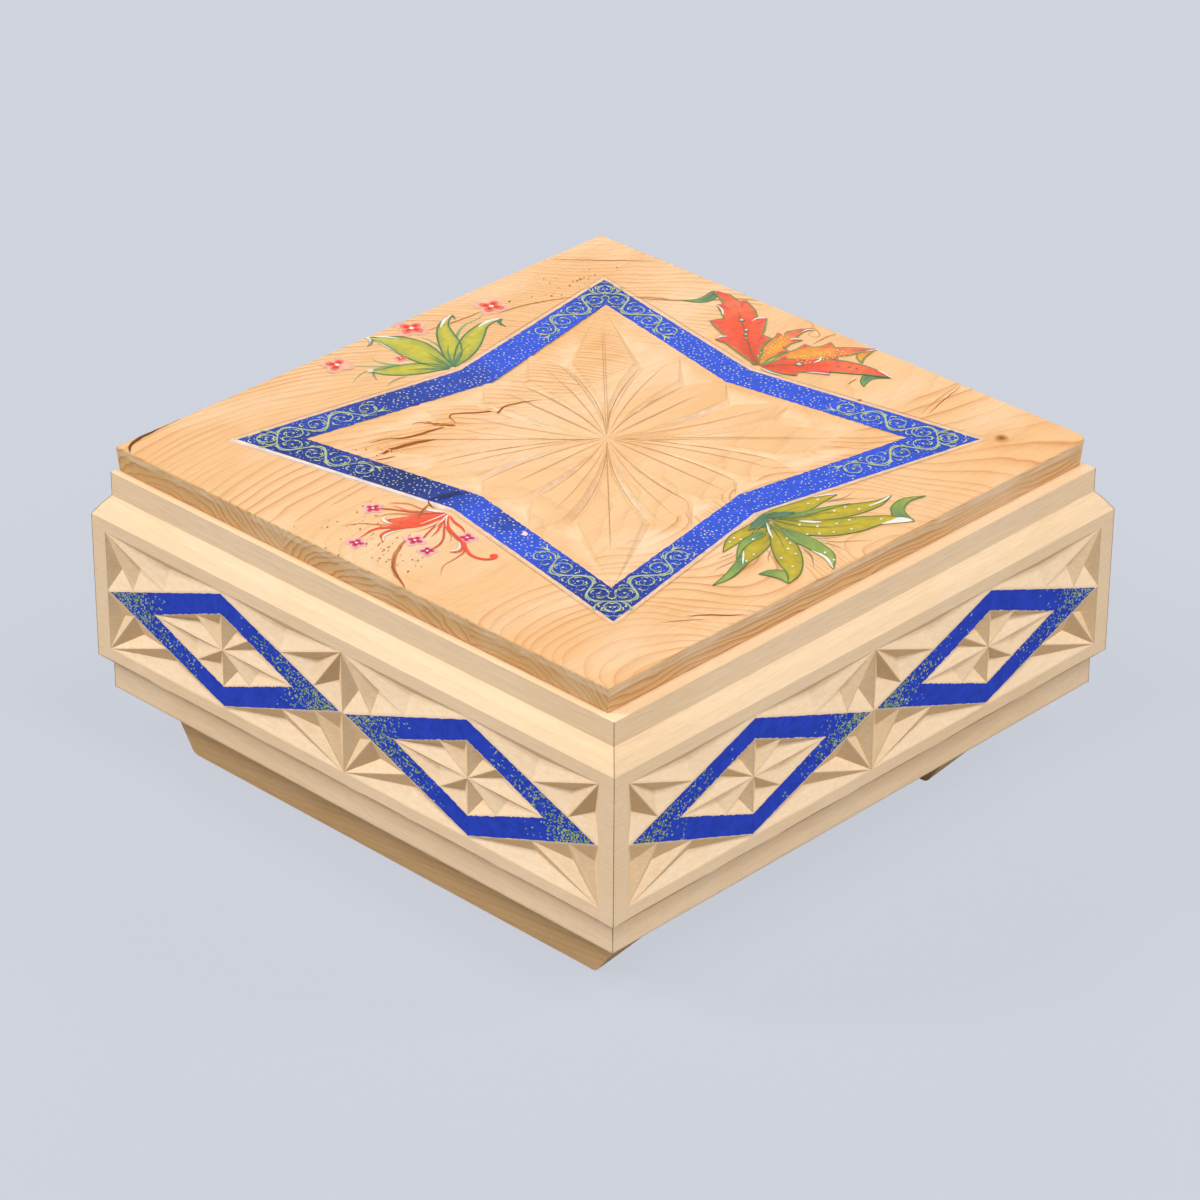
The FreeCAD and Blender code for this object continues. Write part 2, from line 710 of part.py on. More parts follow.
def check(nodes):
    """Stop if any object failed to build or any piece is empty or broken."""
    for item in doc.Objects:
        if "Invalid" in item.State or "Error" in item.State:
            raise RuntimeError("%s failed: %s" % (item.Label, item.State))
    for node in nodes:
        if node.Shape.isNull() or not node.Shape.isValid():
            raise RuntimeError("%s has no valid shape" % node.Label)


def export(nodes):
    os.makedirs("parts", exist_ok=True)
    for node in nodes:
        node.Shape.exportStep("parts/%s.step" % node.Label)
        print("%-24s solids %d  volume %.1f" % (node.Label, len(node.Shape.Solids), node.Shape.Volume))


pieces = build()
check(pieces)
export(pieces)
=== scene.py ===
"""Looks of a carved and painted wooden keepsake box: camera, light, wood, paint, cracks and fine lines.

The box stands on the floor at the origin, +Z up, hinges at +Y. Names that end in _MM, and the numbers in
the painting tables, are millimetres; everything that Blender gets is in metres.
"""

import math
import random

import bpy
from mathutils import Matrix, Vector
from mathutils.bvhtree import BVHTree


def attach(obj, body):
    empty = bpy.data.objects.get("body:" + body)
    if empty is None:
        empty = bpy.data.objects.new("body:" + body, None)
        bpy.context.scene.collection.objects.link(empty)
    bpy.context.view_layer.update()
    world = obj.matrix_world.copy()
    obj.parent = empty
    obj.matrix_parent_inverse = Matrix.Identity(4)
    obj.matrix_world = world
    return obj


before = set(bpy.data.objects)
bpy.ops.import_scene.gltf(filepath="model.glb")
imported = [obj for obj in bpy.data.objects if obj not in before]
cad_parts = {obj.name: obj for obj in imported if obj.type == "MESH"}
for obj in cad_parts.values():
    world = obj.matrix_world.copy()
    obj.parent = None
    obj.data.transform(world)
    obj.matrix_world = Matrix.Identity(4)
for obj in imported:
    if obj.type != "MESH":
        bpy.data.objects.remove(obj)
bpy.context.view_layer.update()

MM = 0.001

# Places on the box, in millimetres.
LID_TOP_MM = 143.2
STAR_MIDDLE_MM = (5.1, 3.4)
FACE_OUT_MM = 150.0
FIELD_MIDDLE_MM = 79.0
CELL_MIDDLES_MM = (-71.0, 71.0)

# Every coat of paint lies this much over the one before it.
COAT_MM = 0.05
# Marks of one coat lie this share of a coat over each other, so that none coincide.
MARK_STEP = 0.11
MARKS_IN_COAT = 8


def srgb(red, green, blue):
    """A colour written as sRGB bytes, as the linear colour with alpha that shaders take."""
    def linear(byte):
        share = byte / 255.0
        return share / 12.92 if share <= 0.04045 else ((share + 0.055) / 1.055) ** 2.4
    return (linear(red), linear(green), linear(blue), 1.0)


def mixed(first, second, share):
    return tuple(a + (b - a) * share for a, b in zip(first, second))


# Camera, light and floor

CAMERA_TURN = math.radians(-46.177)
CAMERA_RISE = math.radians(29.414)
CAMERA_ROLL = math.radians(0.320)
CAMERA_OFFSET_MM = (-1.743, -63.579, 1995.96)
CAMERA_LENS = 145.517
BACKGROUND = srgb(207, 211, 221)
FULL_WHITE = (1.0, 1.0, 1.0, 1.0)
BLACK = (0.0, 0.0, 0.0, 1.0)

# Lamps: azimuth and rise in degrees and strength, fitted to the shading of the carved facets.
WORLD_STRENGTH = 0.06
LAMPS = [("left", 135, 38, 1.80), ("left_high", 180, 64, 1.05), ("right_high", 270, 64, 1.16),
         ("front", 270, 38, 0.50), ("right", 315, 38, 0.92), ("behind", 45, 15, 0.59)]
LAMP_SPREAD = 14
FLOOR_HALF = 4.0
FLOOR_GLOW = 0.88
FLOOR_SHADE = 0.72


def add_object(name, data):
    item = bpy.data.objects.new(name, data)
    bpy.context.scene.collection.objects.link(item)
    return item


def make_camera():
    """A camera at the photograph's place, with the photograph's slight roll."""
    back = Vector((math.sin(CAMERA_TURN) * math.cos(CAMERA_RISE),
                   -math.cos(CAMERA_TURN) * math.cos(CAMERA_RISE), math.sin(CAMERA_RISE)))
    level = Vector((math.cos(CAMERA_TURN), math.sin(CAMERA_TURN), 0))
    upright = back.cross(level)
    right = level * math.cos(CAMERA_ROLL) + upright * math.sin(CAMERA_ROLL)
    up = upright * math.cos(CAMERA_ROLL) - level * math.sin(CAMERA_ROLL)
    across, rise, away = (length * MM for length in CAMERA_OFFSET_MM)
    place = right * across + up * rise + back * away + Vector((0, 0, LID_TOP_MM * MM))
    camera = add_object("camera", bpy.data.cameras.new("camera"))
    camera.matrix_world = Matrix((right, up, back)).transposed().to_4x4()
    camera.matrix_world.translation = place
    camera.data.sensor_width = 36.0
    camera.data.lens = CAMERA_LENS
    bpy.context.scene.camera = camera


def make_lamp(name, azimuth, rise, strength, spread):
    """A soft lamp at infinity; azimuth is counted from +X towards +Y, both angles in degrees."""
    turn, lift = math.radians(azimuth), math.radians(rise)
    towards = Vector((math.cos(turn) * math.cos(lift), math.sin(turn) * math.cos(lift), math.sin(lift)))
    lamp = add_object(name, bpy.data.lights.new(name, "SUN"))
    lamp.data.energy = strength
    lamp.data.angle = math.radians(spread)
    lamp.rotation_mode = "QUATERNION"
    lamp.rotation_quaternion = towards.to_track_quat("Z", "Y")


def seen_rays(tree):
    """1 for what the camera sees, also in metal or through glass, 0 for the light that reaches the box."""
    rays = node(tree, "ShaderNodeLightPath")
    seen = maths(tree, "MAXIMUM", rays.outputs["Is Camera Ray"], rays.outputs["Is Glossy Ray"])
    return maths(tree, "MAXIMUM", seen, rays.outputs["Is Transmission Ray"])


def make_light():
    world = bpy.data.worlds.new("studio")
    bpy.context.scene.world = world
    world.use_nodes = True
    tree = world.node_tree
    sky = tree.nodes["Background"]
    sky.inputs["Color"].default_value = FULL_WHITE
    sky.inputs["Strength"].default_value = WORLD_STRENGTH
    shown = node(tree, "ShaderNodeBackground", {"Color": BACKGROUND, "Strength": 1.0})
    chosen = node(tree, "ShaderNodeMixShader", {0: seen_rays(tree), 1: sky.outputs[0], 2: shown.outputs[0]})
    tree.links.new(chosen.outputs[0], tree.nodes["World Output"].inputs["Surface"])
    for name, azimuth, rise, strength in LAMPS:
        make_lamp(name, azimuth, rise, strength, LAMP_SPREAD)


def make_floor():
    """A pale floor that shows the backdrop's colour and keeps a faint shadow."""
    mesh = bpy.data.meshes.new("floor")
    half = FLOOR_HALF
    mesh.from_pydata([(-half, -half, 0), (half, -half, 0), (half, half, 0), (-half, half, 0)], [],
                     [(0, 1, 2, 3)])
    floor = add_object("floor", mesh)
    material, tree, shader, _ = new_material("floor_paper", 0.9)
    shader.inputs["Base Color"].default_value = mixed(BLACK, BACKGROUND, FLOOR_SHADE)
    glow = node(tree, "ShaderNodeEmission", {"Color": BACKGROUND, "Strength": 1.0})
    share = maths(tree, "MULTIPLY", seen_rays(tree), FLOOR_GLOW)
    both = node(tree, "ShaderNodeMixShader", {0: share, 1: shader.outputs[0], 2: glow.outputs[0]})
    tree.links.new(both.outputs[0], tree.nodes["Material Output"].inputs["Surface"])
    mesh.materials.append(material)


# Shader building blocks

def node(tree, kind, values=None, **properties):
    """Add a shader node. Each value is a constant for its socket, or the output that feeds it."""
    item = tree.nodes.new(kind)
    for name, value in properties.items():
        setattr(item, name, value)
    for key, value in (values or {}).items():
        if isinstance(value, bpy.types.NodeSocket):
            tree.links.new(value, item.inputs[key])
        else:
            item.inputs[key].default_value = value
    return item


def maths(tree, operation, first, second=0.0, third=0.0):
    return node(tree, "ShaderNodeMath", {0: first, 1: second, 2: third}, operation=operation).outputs[0]


def blend_colours(tree, share, first, second, mode="MIX"):
    values = {0: share, 6: first, 7: second}
    return node(tree, "ShaderNodeMix", values, data_type="RGBA", blend_type=mode).outputs[2]


def vector_maths(tree, operation, first, second=(0.0, 0.0, 0.0)):
    return node(tree, "ShaderNodeVectorMath", {0: first, 1: second}, operation=operation).outputs[0]


def split(tree, vector):
    return node(tree, "ShaderNodeSeparateXYZ", {0: vector}).outputs


def join(tree, x, y=0.0, z=0.0):
    return node(tree, "ShaderNodeCombineXYZ", {0: x, 1: y, 2: z}).outputs[0]


def surface_normal(tree):
    return node(tree, "ShaderNodeTexCoord").outputs["Normal"]


def noise(tree, place, scale, detail=2.0, roughness=0.5):
    """Noise from 0 to 1 over a place in millimetres; scale gives its waves per millimetre along X, Y, Z."""
    stretched = vector_maths(tree, "MULTIPLY", place, scale)
    return node(tree, "ShaderNodeTexNoise", {"Vector": stretched, "Scale": 1.0, "Detail": detail,
                                             "Roughness": roughness})


def ramp(tree, value, stops):
    """A colour ramp from (place, colour) stops; a plain number stands for a grey."""
    item = node(tree, "ShaderNodeValToRGB", {0: value})
    elements = item.color_ramp.elements
    while len(elements) < len(stops):
        elements.new(0.5)
    for element, (place, colour) in zip(elements, stops):
        element.position = place
        element.color = colour if isinstance(colour, tuple) else (colour, colour, colour, 1.0)
    return item.outputs[0]


def new_material(name, roughness):
    """A material with its tree, its shader and the place on the box in millimetres."""
    material = bpy.data.materials.new(name)
    material.use_nodes = True
    tree = material.node_tree
    shader = tree.nodes["Principled BSDF"]
    shader.inputs["Roughness"].default_value = roughness
    coords = node(tree, "ShaderNodeTexCoord").outputs["Object"]
    return material, tree, shader, vector_maths(tree, "MULTIPLY", coords, (1 / MM,) * 3)


def add_bump(tree, height, depth_mm):
    bump = node(tree, "ShaderNodeBump", {"Height": height, "Strength": 1.0, "Distance": depth_mm * MM})
    tree.links.new(bump.outputs[0], tree.nodes["Principled BSDF"].inputs["Normal"])


# Wood

def curve(tree, value, points):
    """A smooth curve through (input, output) points, both from 0 to 1."""
    item = node(tree, "ShaderNodeFloatCurve", {"Value": value})
    line = item.mapping.curves[0]
    line.points[0].location, line.points[-1].location = points[0], points[-1]
    for point in points[1:-1]:
        line.points.new(*point)
    item.mapping.update()
    return item.outputs[0]


def pith_line(tree, length, track, column):
    """How far across (column 1) or up (column 2) the pith lies, along a track of places in millimetres."""
    start, end = track[0][0], track[-1][0]
    low = min(place[column] for place in track)
    reach = max(place[column] for place in track) - low
    if reach < 1.0:
        return low
    share = maths(tree, "DIVIDE", maths(tree, "SUBTRACT", length, start), end - start)
    points = [((place[0] - start) / (end - start), (place[column] - low) / reach) for place in track]
    return maths(tree, "MULTIPLY_ADD", curve(tree, share, points), reach, low)


# How dark a growth ring is on its way from early to late wood.
RING_PROFILE = [(0.0, 0.0), (0.45, 0.04), (0.78, 0.38), (0.92, 1.0), (1.0, 0.0)]
# A surface counts as a board's edge where its normal points this much along X or Y.
EDGE = 0.6
# The rings in the lid's edges: height of their middle, and width in the ends and in the flanks.
EDGE_PITH_MM = 84.0
ARC_MM = 3.0
LINE_MM = 2.0
# The carved fields of the walls: how far out their deepest facets lie, and half their height.
FIELD_OUT_MM = 144.6
FIELD_HALF_MM = 28.2
WOOD_GLOSS = 0.25
PAINT_GLOSS = 0.05
# Tints of cut end grain, of the lid's ends and flanks and of resin, and the painted shade of facets that look
# down.
END_GRAIN = (0.76, 0.69, 0.55, 1.0)
LID_END_GRAIN = (0.98, 1.06, 1.04, 1.0)
LID_FLANK = (1.05, 1.15, 1.22, 1.0)
DOWN_FACET_SHADE = (0.80, 0.67, 0.49, 1.0)
RESIN_TINT = (0.94, 0.82, 0.6, 1.0)
# Pale chalky dust in the rosette's grooves, which is also painted light that lifts their shade.
CHALK_DUST_AND_LIGHT = srgb(238, 202, 168)


def make_wood(name, tones, track, ring_width, ring_strength, along="X", wander=(0.008, 0.03, 3.0),
              streaks=0.4, facets=None, sawn=None, mottle=0.5, spots=()):
    """Sawn wood: growth rings about a pith that wanders along the grain, fibres and a soft mottle.

    tones: early wood, late wood and the tint of the large patches, as linear colours.
    track: places of the pith as (along, across, height) in millimetres.
    wander: waves per millimetre of the rings' unevenness along and across the grain, and its size.
    facets: two colours of freshly cut facets, for the carved fields of the walls.
    sawn: for a lid board, where across its rings rise highest in the sawn ends.
    mottle: how far the large patches go from the early wood's colour.
    spots: where resin has tinted the wood: middle along X and Y, then the reach along both.
    """
    early, late, tint = tones
    material, tree, shader, place = new_material(name, 0.6)
    x, y, z = split(tree, place)
    length, across = (x, y) if along == "X" else (y, x)
    grain = join(tree, length, across, z)

    slow, quick, reach = wander
    sway = noise(tree, grain, (slow, quick, quick), 2.0, 0.45).outputs["Color"]
    shift = split(tree, sway)
    sides = []
    for socket, column in ((across, 1), (z, 2)):
        away = maths(tree, "SUBTRACT", socket, pith_line(tree, length, track, column))
        centred = maths(tree, "SUBTRACT", shift[column - 1], 0.5)
        sides.append(maths(tree, "MULTIPLY_ADD", centred, 2.0 * reach, away))
    square = maths(tree, "MULTIPLY", sides[0], sides[0])
    radius = maths(tree, "SQRT", maths(tree, "MULTIPLY_ADD", sides[1], sides[1], square))
    count = maths(tree, "DIVIDE", radius, ring_width)
    facing = split(tree, vector_maths(tree, "ABSOLUTE", surface_normal(tree)))
    end, flank = (facing[0], facing[1]) if along == "X" else (facing[1], facing[0])
    if sawn is not None:
        count = count_on_edges(tree, count, (length, across, z), grain, (end, flank), sawn)
    uneven = noise(tree, join(tree, count), (0.45, 1, 1), 1.0)
    count = maths(tree, "MULTIPLY_ADD", uneven.outputs[0], 1.6, count)
    band = ramp(tree, maths(tree, "FRACT", count), RING_PROFILE)
    patchy = noise(tree, grain, (0.008, 0.03, 0.03), 2.0).outputs[0]
    force = maths(tree, "MULTIPLY", ramp(tree, patchy, [(0.36, 0.45), (0.58, 1.0)]), ring_strength)
    share = maths(tree, "MULTIPLY", band, force)
    if sawn is not None:
        edge = maths(tree, "GREATER_THAN", maths(tree, "MAXIMUM", end, flank), EDGE)
        on_edge = maths(tree, "MULTIPLY", maths(tree, "POWER", band, 0.6), edge)
        share = maths(tree, "MAXIMUM", share, on_edge)
    colour = blend_colours(tree, share, early, late)

    cloud = noise(tree, grain, (0.009, 0.018, 0.018), 3.0, 0.55).outputs[0]
    colour = blend_colours(tree, ramp(tree, cloud, [(0.4, 0.0), (0.64, mottle)]), colour, tint)
    pale = split(tree, noise(tree, grain, (0.014, 0.026, 0.026)).outputs[1])[1]
    light = mixed(early, FULL_WHITE, 0.16)
    colour = blend_colours(tree, ramp(tree, pale, [(0.48, 0.0), (0.66, mottle)]), colour, light)
    for spot in spots:
        colour = tint_with_resin(tree, place, (x, y), colour, spot)
    fibre = noise(tree, grain, (0.07, 1.7, 1.7), 4.0, 0.7).outputs[0]
    dark = mixed(early, BLACK, 0.45)
    colour = blend_colours(tree, ramp(tree, fibre, [(0.42, 0.0), (0.75, streaks)]), colour, dark)
    if facets:
        colour = cut_facets(tree, place, z, colour, facets)
    end_tint = END_GRAIN
    if sawn is not None:
        colour = chalk_and_light_grooves(tree, place, z, colour)
        end_tint = LID_END_GRAIN
    colour = blend_colours(tree, ramp(tree, end, [(0.12, 0.0), (0.8, 1.0)]), colour, end_tint, "MULTIPLY")
    if sawn is not None:
        on_flank = ramp(tree, flank, [(0.5, 0.0), (0.8, 1.0)])
        colour = blend_colours(tree, on_flank, colour, LID_FLANK, "MULTIPLY")
    tree.links.new(colour, shader.inputs["Base Color"])
    shader.inputs["Specular IOR Level"].default_value = WOOD_GLOSS
    add_bump(tree, maths(tree, "MULTIPLY_ADD", band, 0.4, fibre), 0.12)
    return material


def count_on_edges(tree, count, parts, grain, edges, middle):
    """Growth rings on a board's edges: arcs in its sawn ends, long lines in its flanks."""
    length, across, height = parts
    end, flank = edges
    offset = maths(tree, "SUBTRACT", across, middle)
    below = maths(tree, "SUBTRACT", height, EDGE_PITH_MM)
    wave = noise(tree, grain, (0.02, 0.06, 0.06)).outputs[0]
    square = maths(tree, "MULTIPLY_ADD", offset, offset, maths(tree, "MULTIPLY", below, below))
    radius = maths(tree, "MULTIPLY_ADD", wave, 10.0, maths(tree, "SQRT", square))
    rise = maths(tree, "MULTIPLY_ADD", length, 0.035, maths(tree, "MULTIPLY_ADD", wave, 12.0, height))
    for share, way, width in ((end, radius, ARC_MM), (flank, rise, LINE_MM)):
        chosen = maths(tree, "GREATER_THAN", share, EDGE)
        values = {0: chosen, 2: count, 3: maths(tree, "DIVIDE", way, width)}
        count = node(tree, "ShaderNodeMix", values, data_type="FLOAT").outputs[0]
    return count


def tint_with_resin(tree, place, plan, colour, spot):
    """A cloudy amber tint that fades out round a spot."""
    square = 0.0
    for socket, middle, reach in zip(plan, spot[:2], spot[2:]):
        away = maths(tree, "DIVIDE", maths(tree, "SUBTRACT", socket, middle), reach)
        square = maths(tree, "MULTIPLY_ADD", away, away, square)
    cloud = noise(tree, place, (0.05, 0.14, 0.1), 4.0, 0.6).outputs[0]
    share = maths(tree, "MULTIPLY", ramp(tree, square, [(0.1, 0.8), (0.95, 0.0)]),
                  ramp(tree, cloud, [(0.36, 0.1), (0.62, 1.0)]))
    return blend_colours(tree, share, colour, RESIN_TINT, "MULTIPLY")


def chalk_and_light_grooves(tree, place, height, colour):
    """The pale dust that stays in the rosette's grooves, which also lightens them as painted light against
    their shade.
    """
    depth = maths(tree, "SUBTRACT", LID_TOP_MM, height)
    cut = ramp(tree, maths(tree, "DIVIDE", depth, 4.0), [(0.1, 0.0), (0.3, 1.0), (0.8, 1.0), (0.9, 0.0)])
    patches = noise(tree, place, (0.05, 0.05, 0.05), 3.0, 0.6).outputs[0]
    share = maths(tree, "MULTIPLY", cut, ramp(tree, patches, [(0.4, 0.1), (0.6, 0.6)]))
    return blend_colours(tree, share, colour, CHALK_DUST_AND_LIGHT)


def cut_facets(tree, place, height, colour, facets):
    """Lay the colour of fresh cuts over the wood behind a wall's face, between its plain margins, and darken
    the facets that look down with painted shade.
    """
    out = split(tree, vector_maths(tree, "ABSOLUTE", place))
    furthest = maths(tree, "MAXIMUM", out[0], out[1])
    behind = ramp(tree, maths(tree, "SUBTRACT", FACE_OUT_MM, furthest), [(0.02, 0.0), (0.5, 1.0)])
    outer = maths(tree, "GREATER_THAN", furthest, FIELD_OUT_MM)
    middle = maths(tree, "ABSOLUTE", maths(tree, "SUBTRACT", height, FIELD_MIDDLE_MM))
    field = maths(tree, "LESS_THAN", middle, FIELD_HALF_MM)
    mask = maths(tree, "MULTIPLY", maths(tree, "MULTIPLY", behind, outer), field)
    grain = noise(tree, place, (0.3, 0.3, 0.9), 4.0, 0.65).outputs[0]
    fresh = blend_colours(tree, ramp(tree, grain, [(0.35, 0.0), (0.68, 1.0)]), facets[0], facets[1])
    upward = split(tree, surface_normal(tree))[2]
    # Painted shade: facets that look down are darkened and warmed, as if in their own shadow.
    downward = ramp(tree, maths(tree, "MULTIPLY_ADD", upward, -1.0, 0.5), [(0.5, 0.0), (0.9, 1.0)])
    fresh = blend_colours(tree, downward, fresh, DOWN_FACET_SHADE, "MULTIPLY")
    return blend_colours(tree, maths(tree, "MULTIPLY", mask, 0.85), colour, fresh)


def make_brass():
    material, tree, shader, place = new_material("hinge_brass", 0.38)
    shader.inputs["Metallic"].default_value = 1.0
    stain = noise(tree, place, (0.5, 0.5, 0.5), 4.0, 0.6).outputs[0]
    colour = blend_colours(tree, ramp(tree, stain, [(0.4, 0.0), (0.75, 0.8)]),
                           srgb(214, 178, 104), srgb(140, 104, 58))
    tree.links.new(colour, shader.inputs["Base Color"])
    add_bump(tree, noise(tree, place, (0.3, 6.0, 6.0), 3.0).outputs[0], 0.02)
    return material


# Paint

def make_paint_material(name, roughness):
    """Each mark's own colour, a little uneven as a brush leaves it."""
    material, tree, shader, place = new_material(name, roughness)
    own = node(tree, "ShaderNodeVertexColor", layer_name="mark").outputs[0]
    uneven = noise(tree, place, (0.25, 0.25, 0.25), 4.0, 0.6).outputs[0]
    shade = ramp(tree, uneven, [(0.3, 0.82), (0.7, 1.1)])
    tree.links.new(blend_colours(tree, 1.0, own, shade, "MULTIPLY"), shader.inputs["Base Color"])
    shader.inputs["Specular IOR Level"].default_value = PAINT_GLOSS
    return material


class Painting:
    """Thin flat marks on one surface, gathered into a single mesh with a colour at each point.

    lay turns two coordinates in millimetres and a height over the surface into a place in metres.
    """

    def __init__(self, lay):
        self.lay = lay
        self.points = []
        self.faces = []
        self.colours = []
        self.marks = 0

    def point(self, u, v, coat, colour):
        lift = coat + MARK_STEP * (self.marks % MARKS_IN_COAT)
        self.points.append(self.lay(u, v, lift * COAT_MM))
        self.colours.append(colour)
        return len(self.points) - 1

    def polygon(self, outline, coat, colour):
        self.marks += 1
        self.faces.append([self.point(u, v, coat, colour) for u, v in outline])

    def dot(self, u, v, radius, coat, colour, stretch=1.0, turn=0.0, sides=7):
        outline = []
        for i in range(sides):
            angle = 2 * math.pi * i / sides
            a, b = radius * stretch * math.cos(angle), radius * math.sin(angle)
            outline.append((u + a * math.cos(turn) - b * math.sin(turn),
                            v + a * math.sin(turn) + b * math.cos(turn)))
        self.polygon(outline, coat, colour)

    def grid(self, rows, coat, colour_at):
        """A sheet over rows of points; colour_at gives the colour at (row share, column share)."""
        self.marks += 1
        indices = []
        for i, row in enumerate(rows):
            indices.append([self.point(u, v, coat, colour_at(i / (len(rows) - 1), j / (len(row) - 1)))
                            for j, (u, v) in enumerate(row)])
        for first, second in zip(indices, indices[1:]):
            for j in range(len(first) - 1):
                self.faces.append([first[j], first[j + 1], second[j + 1], second[j]])

    def leaf(self, left, right, coat, style, sharp=False):
        """A leaf between its two edges, which are listed from base to tip with equally many points."""
        tones, edge, rim, rim_width = style
        edges = (left, right) if sharp else (smooth_by_count(left), smooth_by_count(right))
        rows = [[mixed(a, b, k / LEAF_COLUMNS) for k in range(LEAF_COLUMNS + 1)] for a, b in zip(*edges)]

        def shade(s, t):
            inside = min(1.0, 2.4 * min(t, 1.0 - t)) ** 0.8
            return mixed(edge, along(tones, s), inside)
        self.grid(rows, coat, shade)
        for side in (left, right):
            self.stroke(side, rim_width, coat + 1, rim, shape="none", sharp=sharp)

    def leaves(self, outlines, coat, style, sharp=False):
        """Leaves from the flat coordinates of their left and right edges."""
        for left, right in outlines:
            self.leaf(pairs(left), pairs(right), coat, style, sharp)

    def flower(self, u, v, size, turn, colours, petals=4):
        """A small flower of round petals on a pale blot, with a white middle."""
        blot, petal, heart = colours
        for part, reach, radius, coat in ((blot, 1.25, 1.15, 2), (petal, 0.95, 0.68, 4)):
            for i in range(4 if part is blot else petals):
                angle = turn + i * math.pi / 2
                self.dot(u + size * reach * math.cos(angle), v + size * reach * math.sin(angle),
                         size * radius, coat, part, 1.3, angle, 12)
        self.dot(u, v, size * 1.1, 3, blot, sides=12)
        for i in range(petals):
            angle = turn + i * math.pi / 2
            self.dot(u + size * 0.75 * math.cos(angle), v + size * 0.75 * math.sin(angle),
                     size * 0.36, 5, heart, 1.5, angle, 8)
        self.dot(u, v, size * 0.36, 6, WHITE, sides=9)

    def stroke(self, line, width, coat, colour, end_colour=None, shape="both", sharp=False):
        """A brush stroke along a smooth line. shape says where it tapers: both, end, start or none."""
        path = line if sharp else smooth(line)
        last = len(path) - 1
        rows = []
        for i, (here, normal) in enumerate(zip(path, normals(path))):
            half = width / 2 * TAPERS[shape](i / last)
            rows.append([(here[0] - normal[0] * half, here[1] - normal[1] * half),
                         (here[0] + normal[0] * half, here[1] + normal[1] * half)])
        self.grid(rows, coat, lambda s, t: mixed(colour, end_colour or colour, s))

    def strokes(self, lines, coat, colour, end_colour=None, shape="both", width=None):
        """Strokes along flat coordinates, with each one's width in front unless all share one."""
        for line in lines:
            own, line = (width, line) if width else (line[0], line[1:])
            self.stroke(pairs(line), own, coat, colour, end_colour, shape)

    def make(self, name, body, material):
        mesh = bpy.data.meshes.new(name)
        mesh.from_pydata(self.points, [], self.faces)
        layer = mesh.color_attributes.new("mark", "FLOAT_COLOR", "POINT")
        for item, colour in zip(layer.data, self.colours):
            item.color = colour
        mesh.materials.append(material)
        piece = add_object(name, mesh)
        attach(piece, body)
        return piece


TAPERS = {
    "both": lambda s: max(0.12, math.sin(math.pi * s) ** 0.6),
    "end": lambda s: max(0.08, (1.0 - s) ** 0.7),
    "start": lambda s: max(0.08, s ** 0.7),
    "none": lambda s: 1.0,
}


def pairs(flat):
    """The points of a flat list of coordinates."""
    return list(zip(flat[::2], flat[1::2]))


def smooth(line, step=0.8):
    """Points of a smooth curve through the given ones, about a step apart, in millimetres."""
    counts = [max(2, round(math.dist(a, b) / step)) for a, b in zip(line, line[1:])]
    return smooth_by_count(line, counts)


def smooth_by_count(line, counts=None):
    """Points of a smooth curve through the given ones, with so many steps from each to the next."""
    counts = counts or [6] * (len(line) - 1)
    ends = [mixed(line[1], line[0], 2.0)] + list(line) + [mixed(line[-2], line[-1], 2.0)]
    path = []
    for count, a, b, c, d in zip(counts, ends, ends[1:], ends[2:], ends[3:]):
        for i in range(count):
            s = i / count
            path.append(tuple(
                0.5 * (2 * q + (r - p) * s + (2 * p - 5 * q + 4 * r - t) * s ** 2
                       + (3 * q - p - 3 * r + t) * s ** 3) for p, q, r, t in zip(a, b, c, d)))
    return path + [line[-1]]


def along(tones, share):
    """The tone at a share of the way through a list of evenly spaced tones."""
    place = share * (len(tones) - 1)
    index = min(int(place), len(tones) - 2)
    return mixed(tones[index], tones[index + 1], place - index)


def normals(path):
    """The unit normal to the left of a path at each of its points."""
    found = []
    for i in range(len(path)):
        before, after = path[max(i - 1, 0)], path[min(i + 1, len(path) - 1)]
        du, dv = after[0] - before[0], after[1] - before[1]
        size = math.hypot(du, dv) or 1.0
        found.append((-dv / size, du / size))
    return found


def on_lid(u, v, lift):
    return (u * MM, v * MM, (LID_TOP_MM + lift) * MM)


def on_wall(turn):
    """Where a point of a wall's face lies: u along the wall, v up from the floor."""
    angle = math.radians(turn)

    def lay(u, v, lift):
        out = -(FACE_OUT_MM + lift)
        return ((u * math.cos(angle) - out * math.sin(angle)) * MM,
                (u * math.sin(angle) + out * math.cos(angle)) * MM, v * MM)
    return lay


# The star's band

# Corners of the painted star, from its middle: outer and inner, from the back left tip on clockwise.
STAR_OUTER = [(-107.2, 108.0), (1.0, 87.7), (108.0, 105.6), (87.7, 0.5), (107.4, -110.0), (-5.0, -86.9),
              (-108.0, -107.4), (-86.9, 2.0)]
STAR_INNER = [(-86.9, 88.3), (4.0, 70.2), (90.8, 87.9), (72.7, 0.3), (87.5, -87.5), (2.0, -72.0),
              (-89.3, -88.3), (-71.5, 1.2)]
BRIGHT_BLUE = srgb(41, 76, 195)
NAVY = srgb(22, 40, 102)
# Where the blue is nearly navy: middle of the patch from the star's middle, reach and strength.
NAVY_PATCHES = [(-84.0, 36.0, 42.0, 1.0), (-98.0, 80.0, 46.0, 0.85), (-94.0, -90.0, 40.0, 0.8),
                (-40.0, 88.0, 46.0, 0.7), (-2.0, 80.0, 18.0, 0.5), (-78.0, -22.0, 12.0, 0.6),
                (100.0, 96.0, 30.0, 0.45), (-60.0, -96.0, 34.0, 0.35), (97.0, -98.0, 30.0, 0.3)]


def star_blue(u, v, wobble):
    share = 0.0
    for patch_u, patch_v, reach, strength in NAVY_PATCHES:
        away = math.hypot(u - patch_u, v - patch_v) / reach
        share = max(share, strength * max(0.0, 1.0 - away ** 2))
    return mixed(BRIGHT_BLUE, NAVY, min(1.0, max(0.0, share + wobble)))


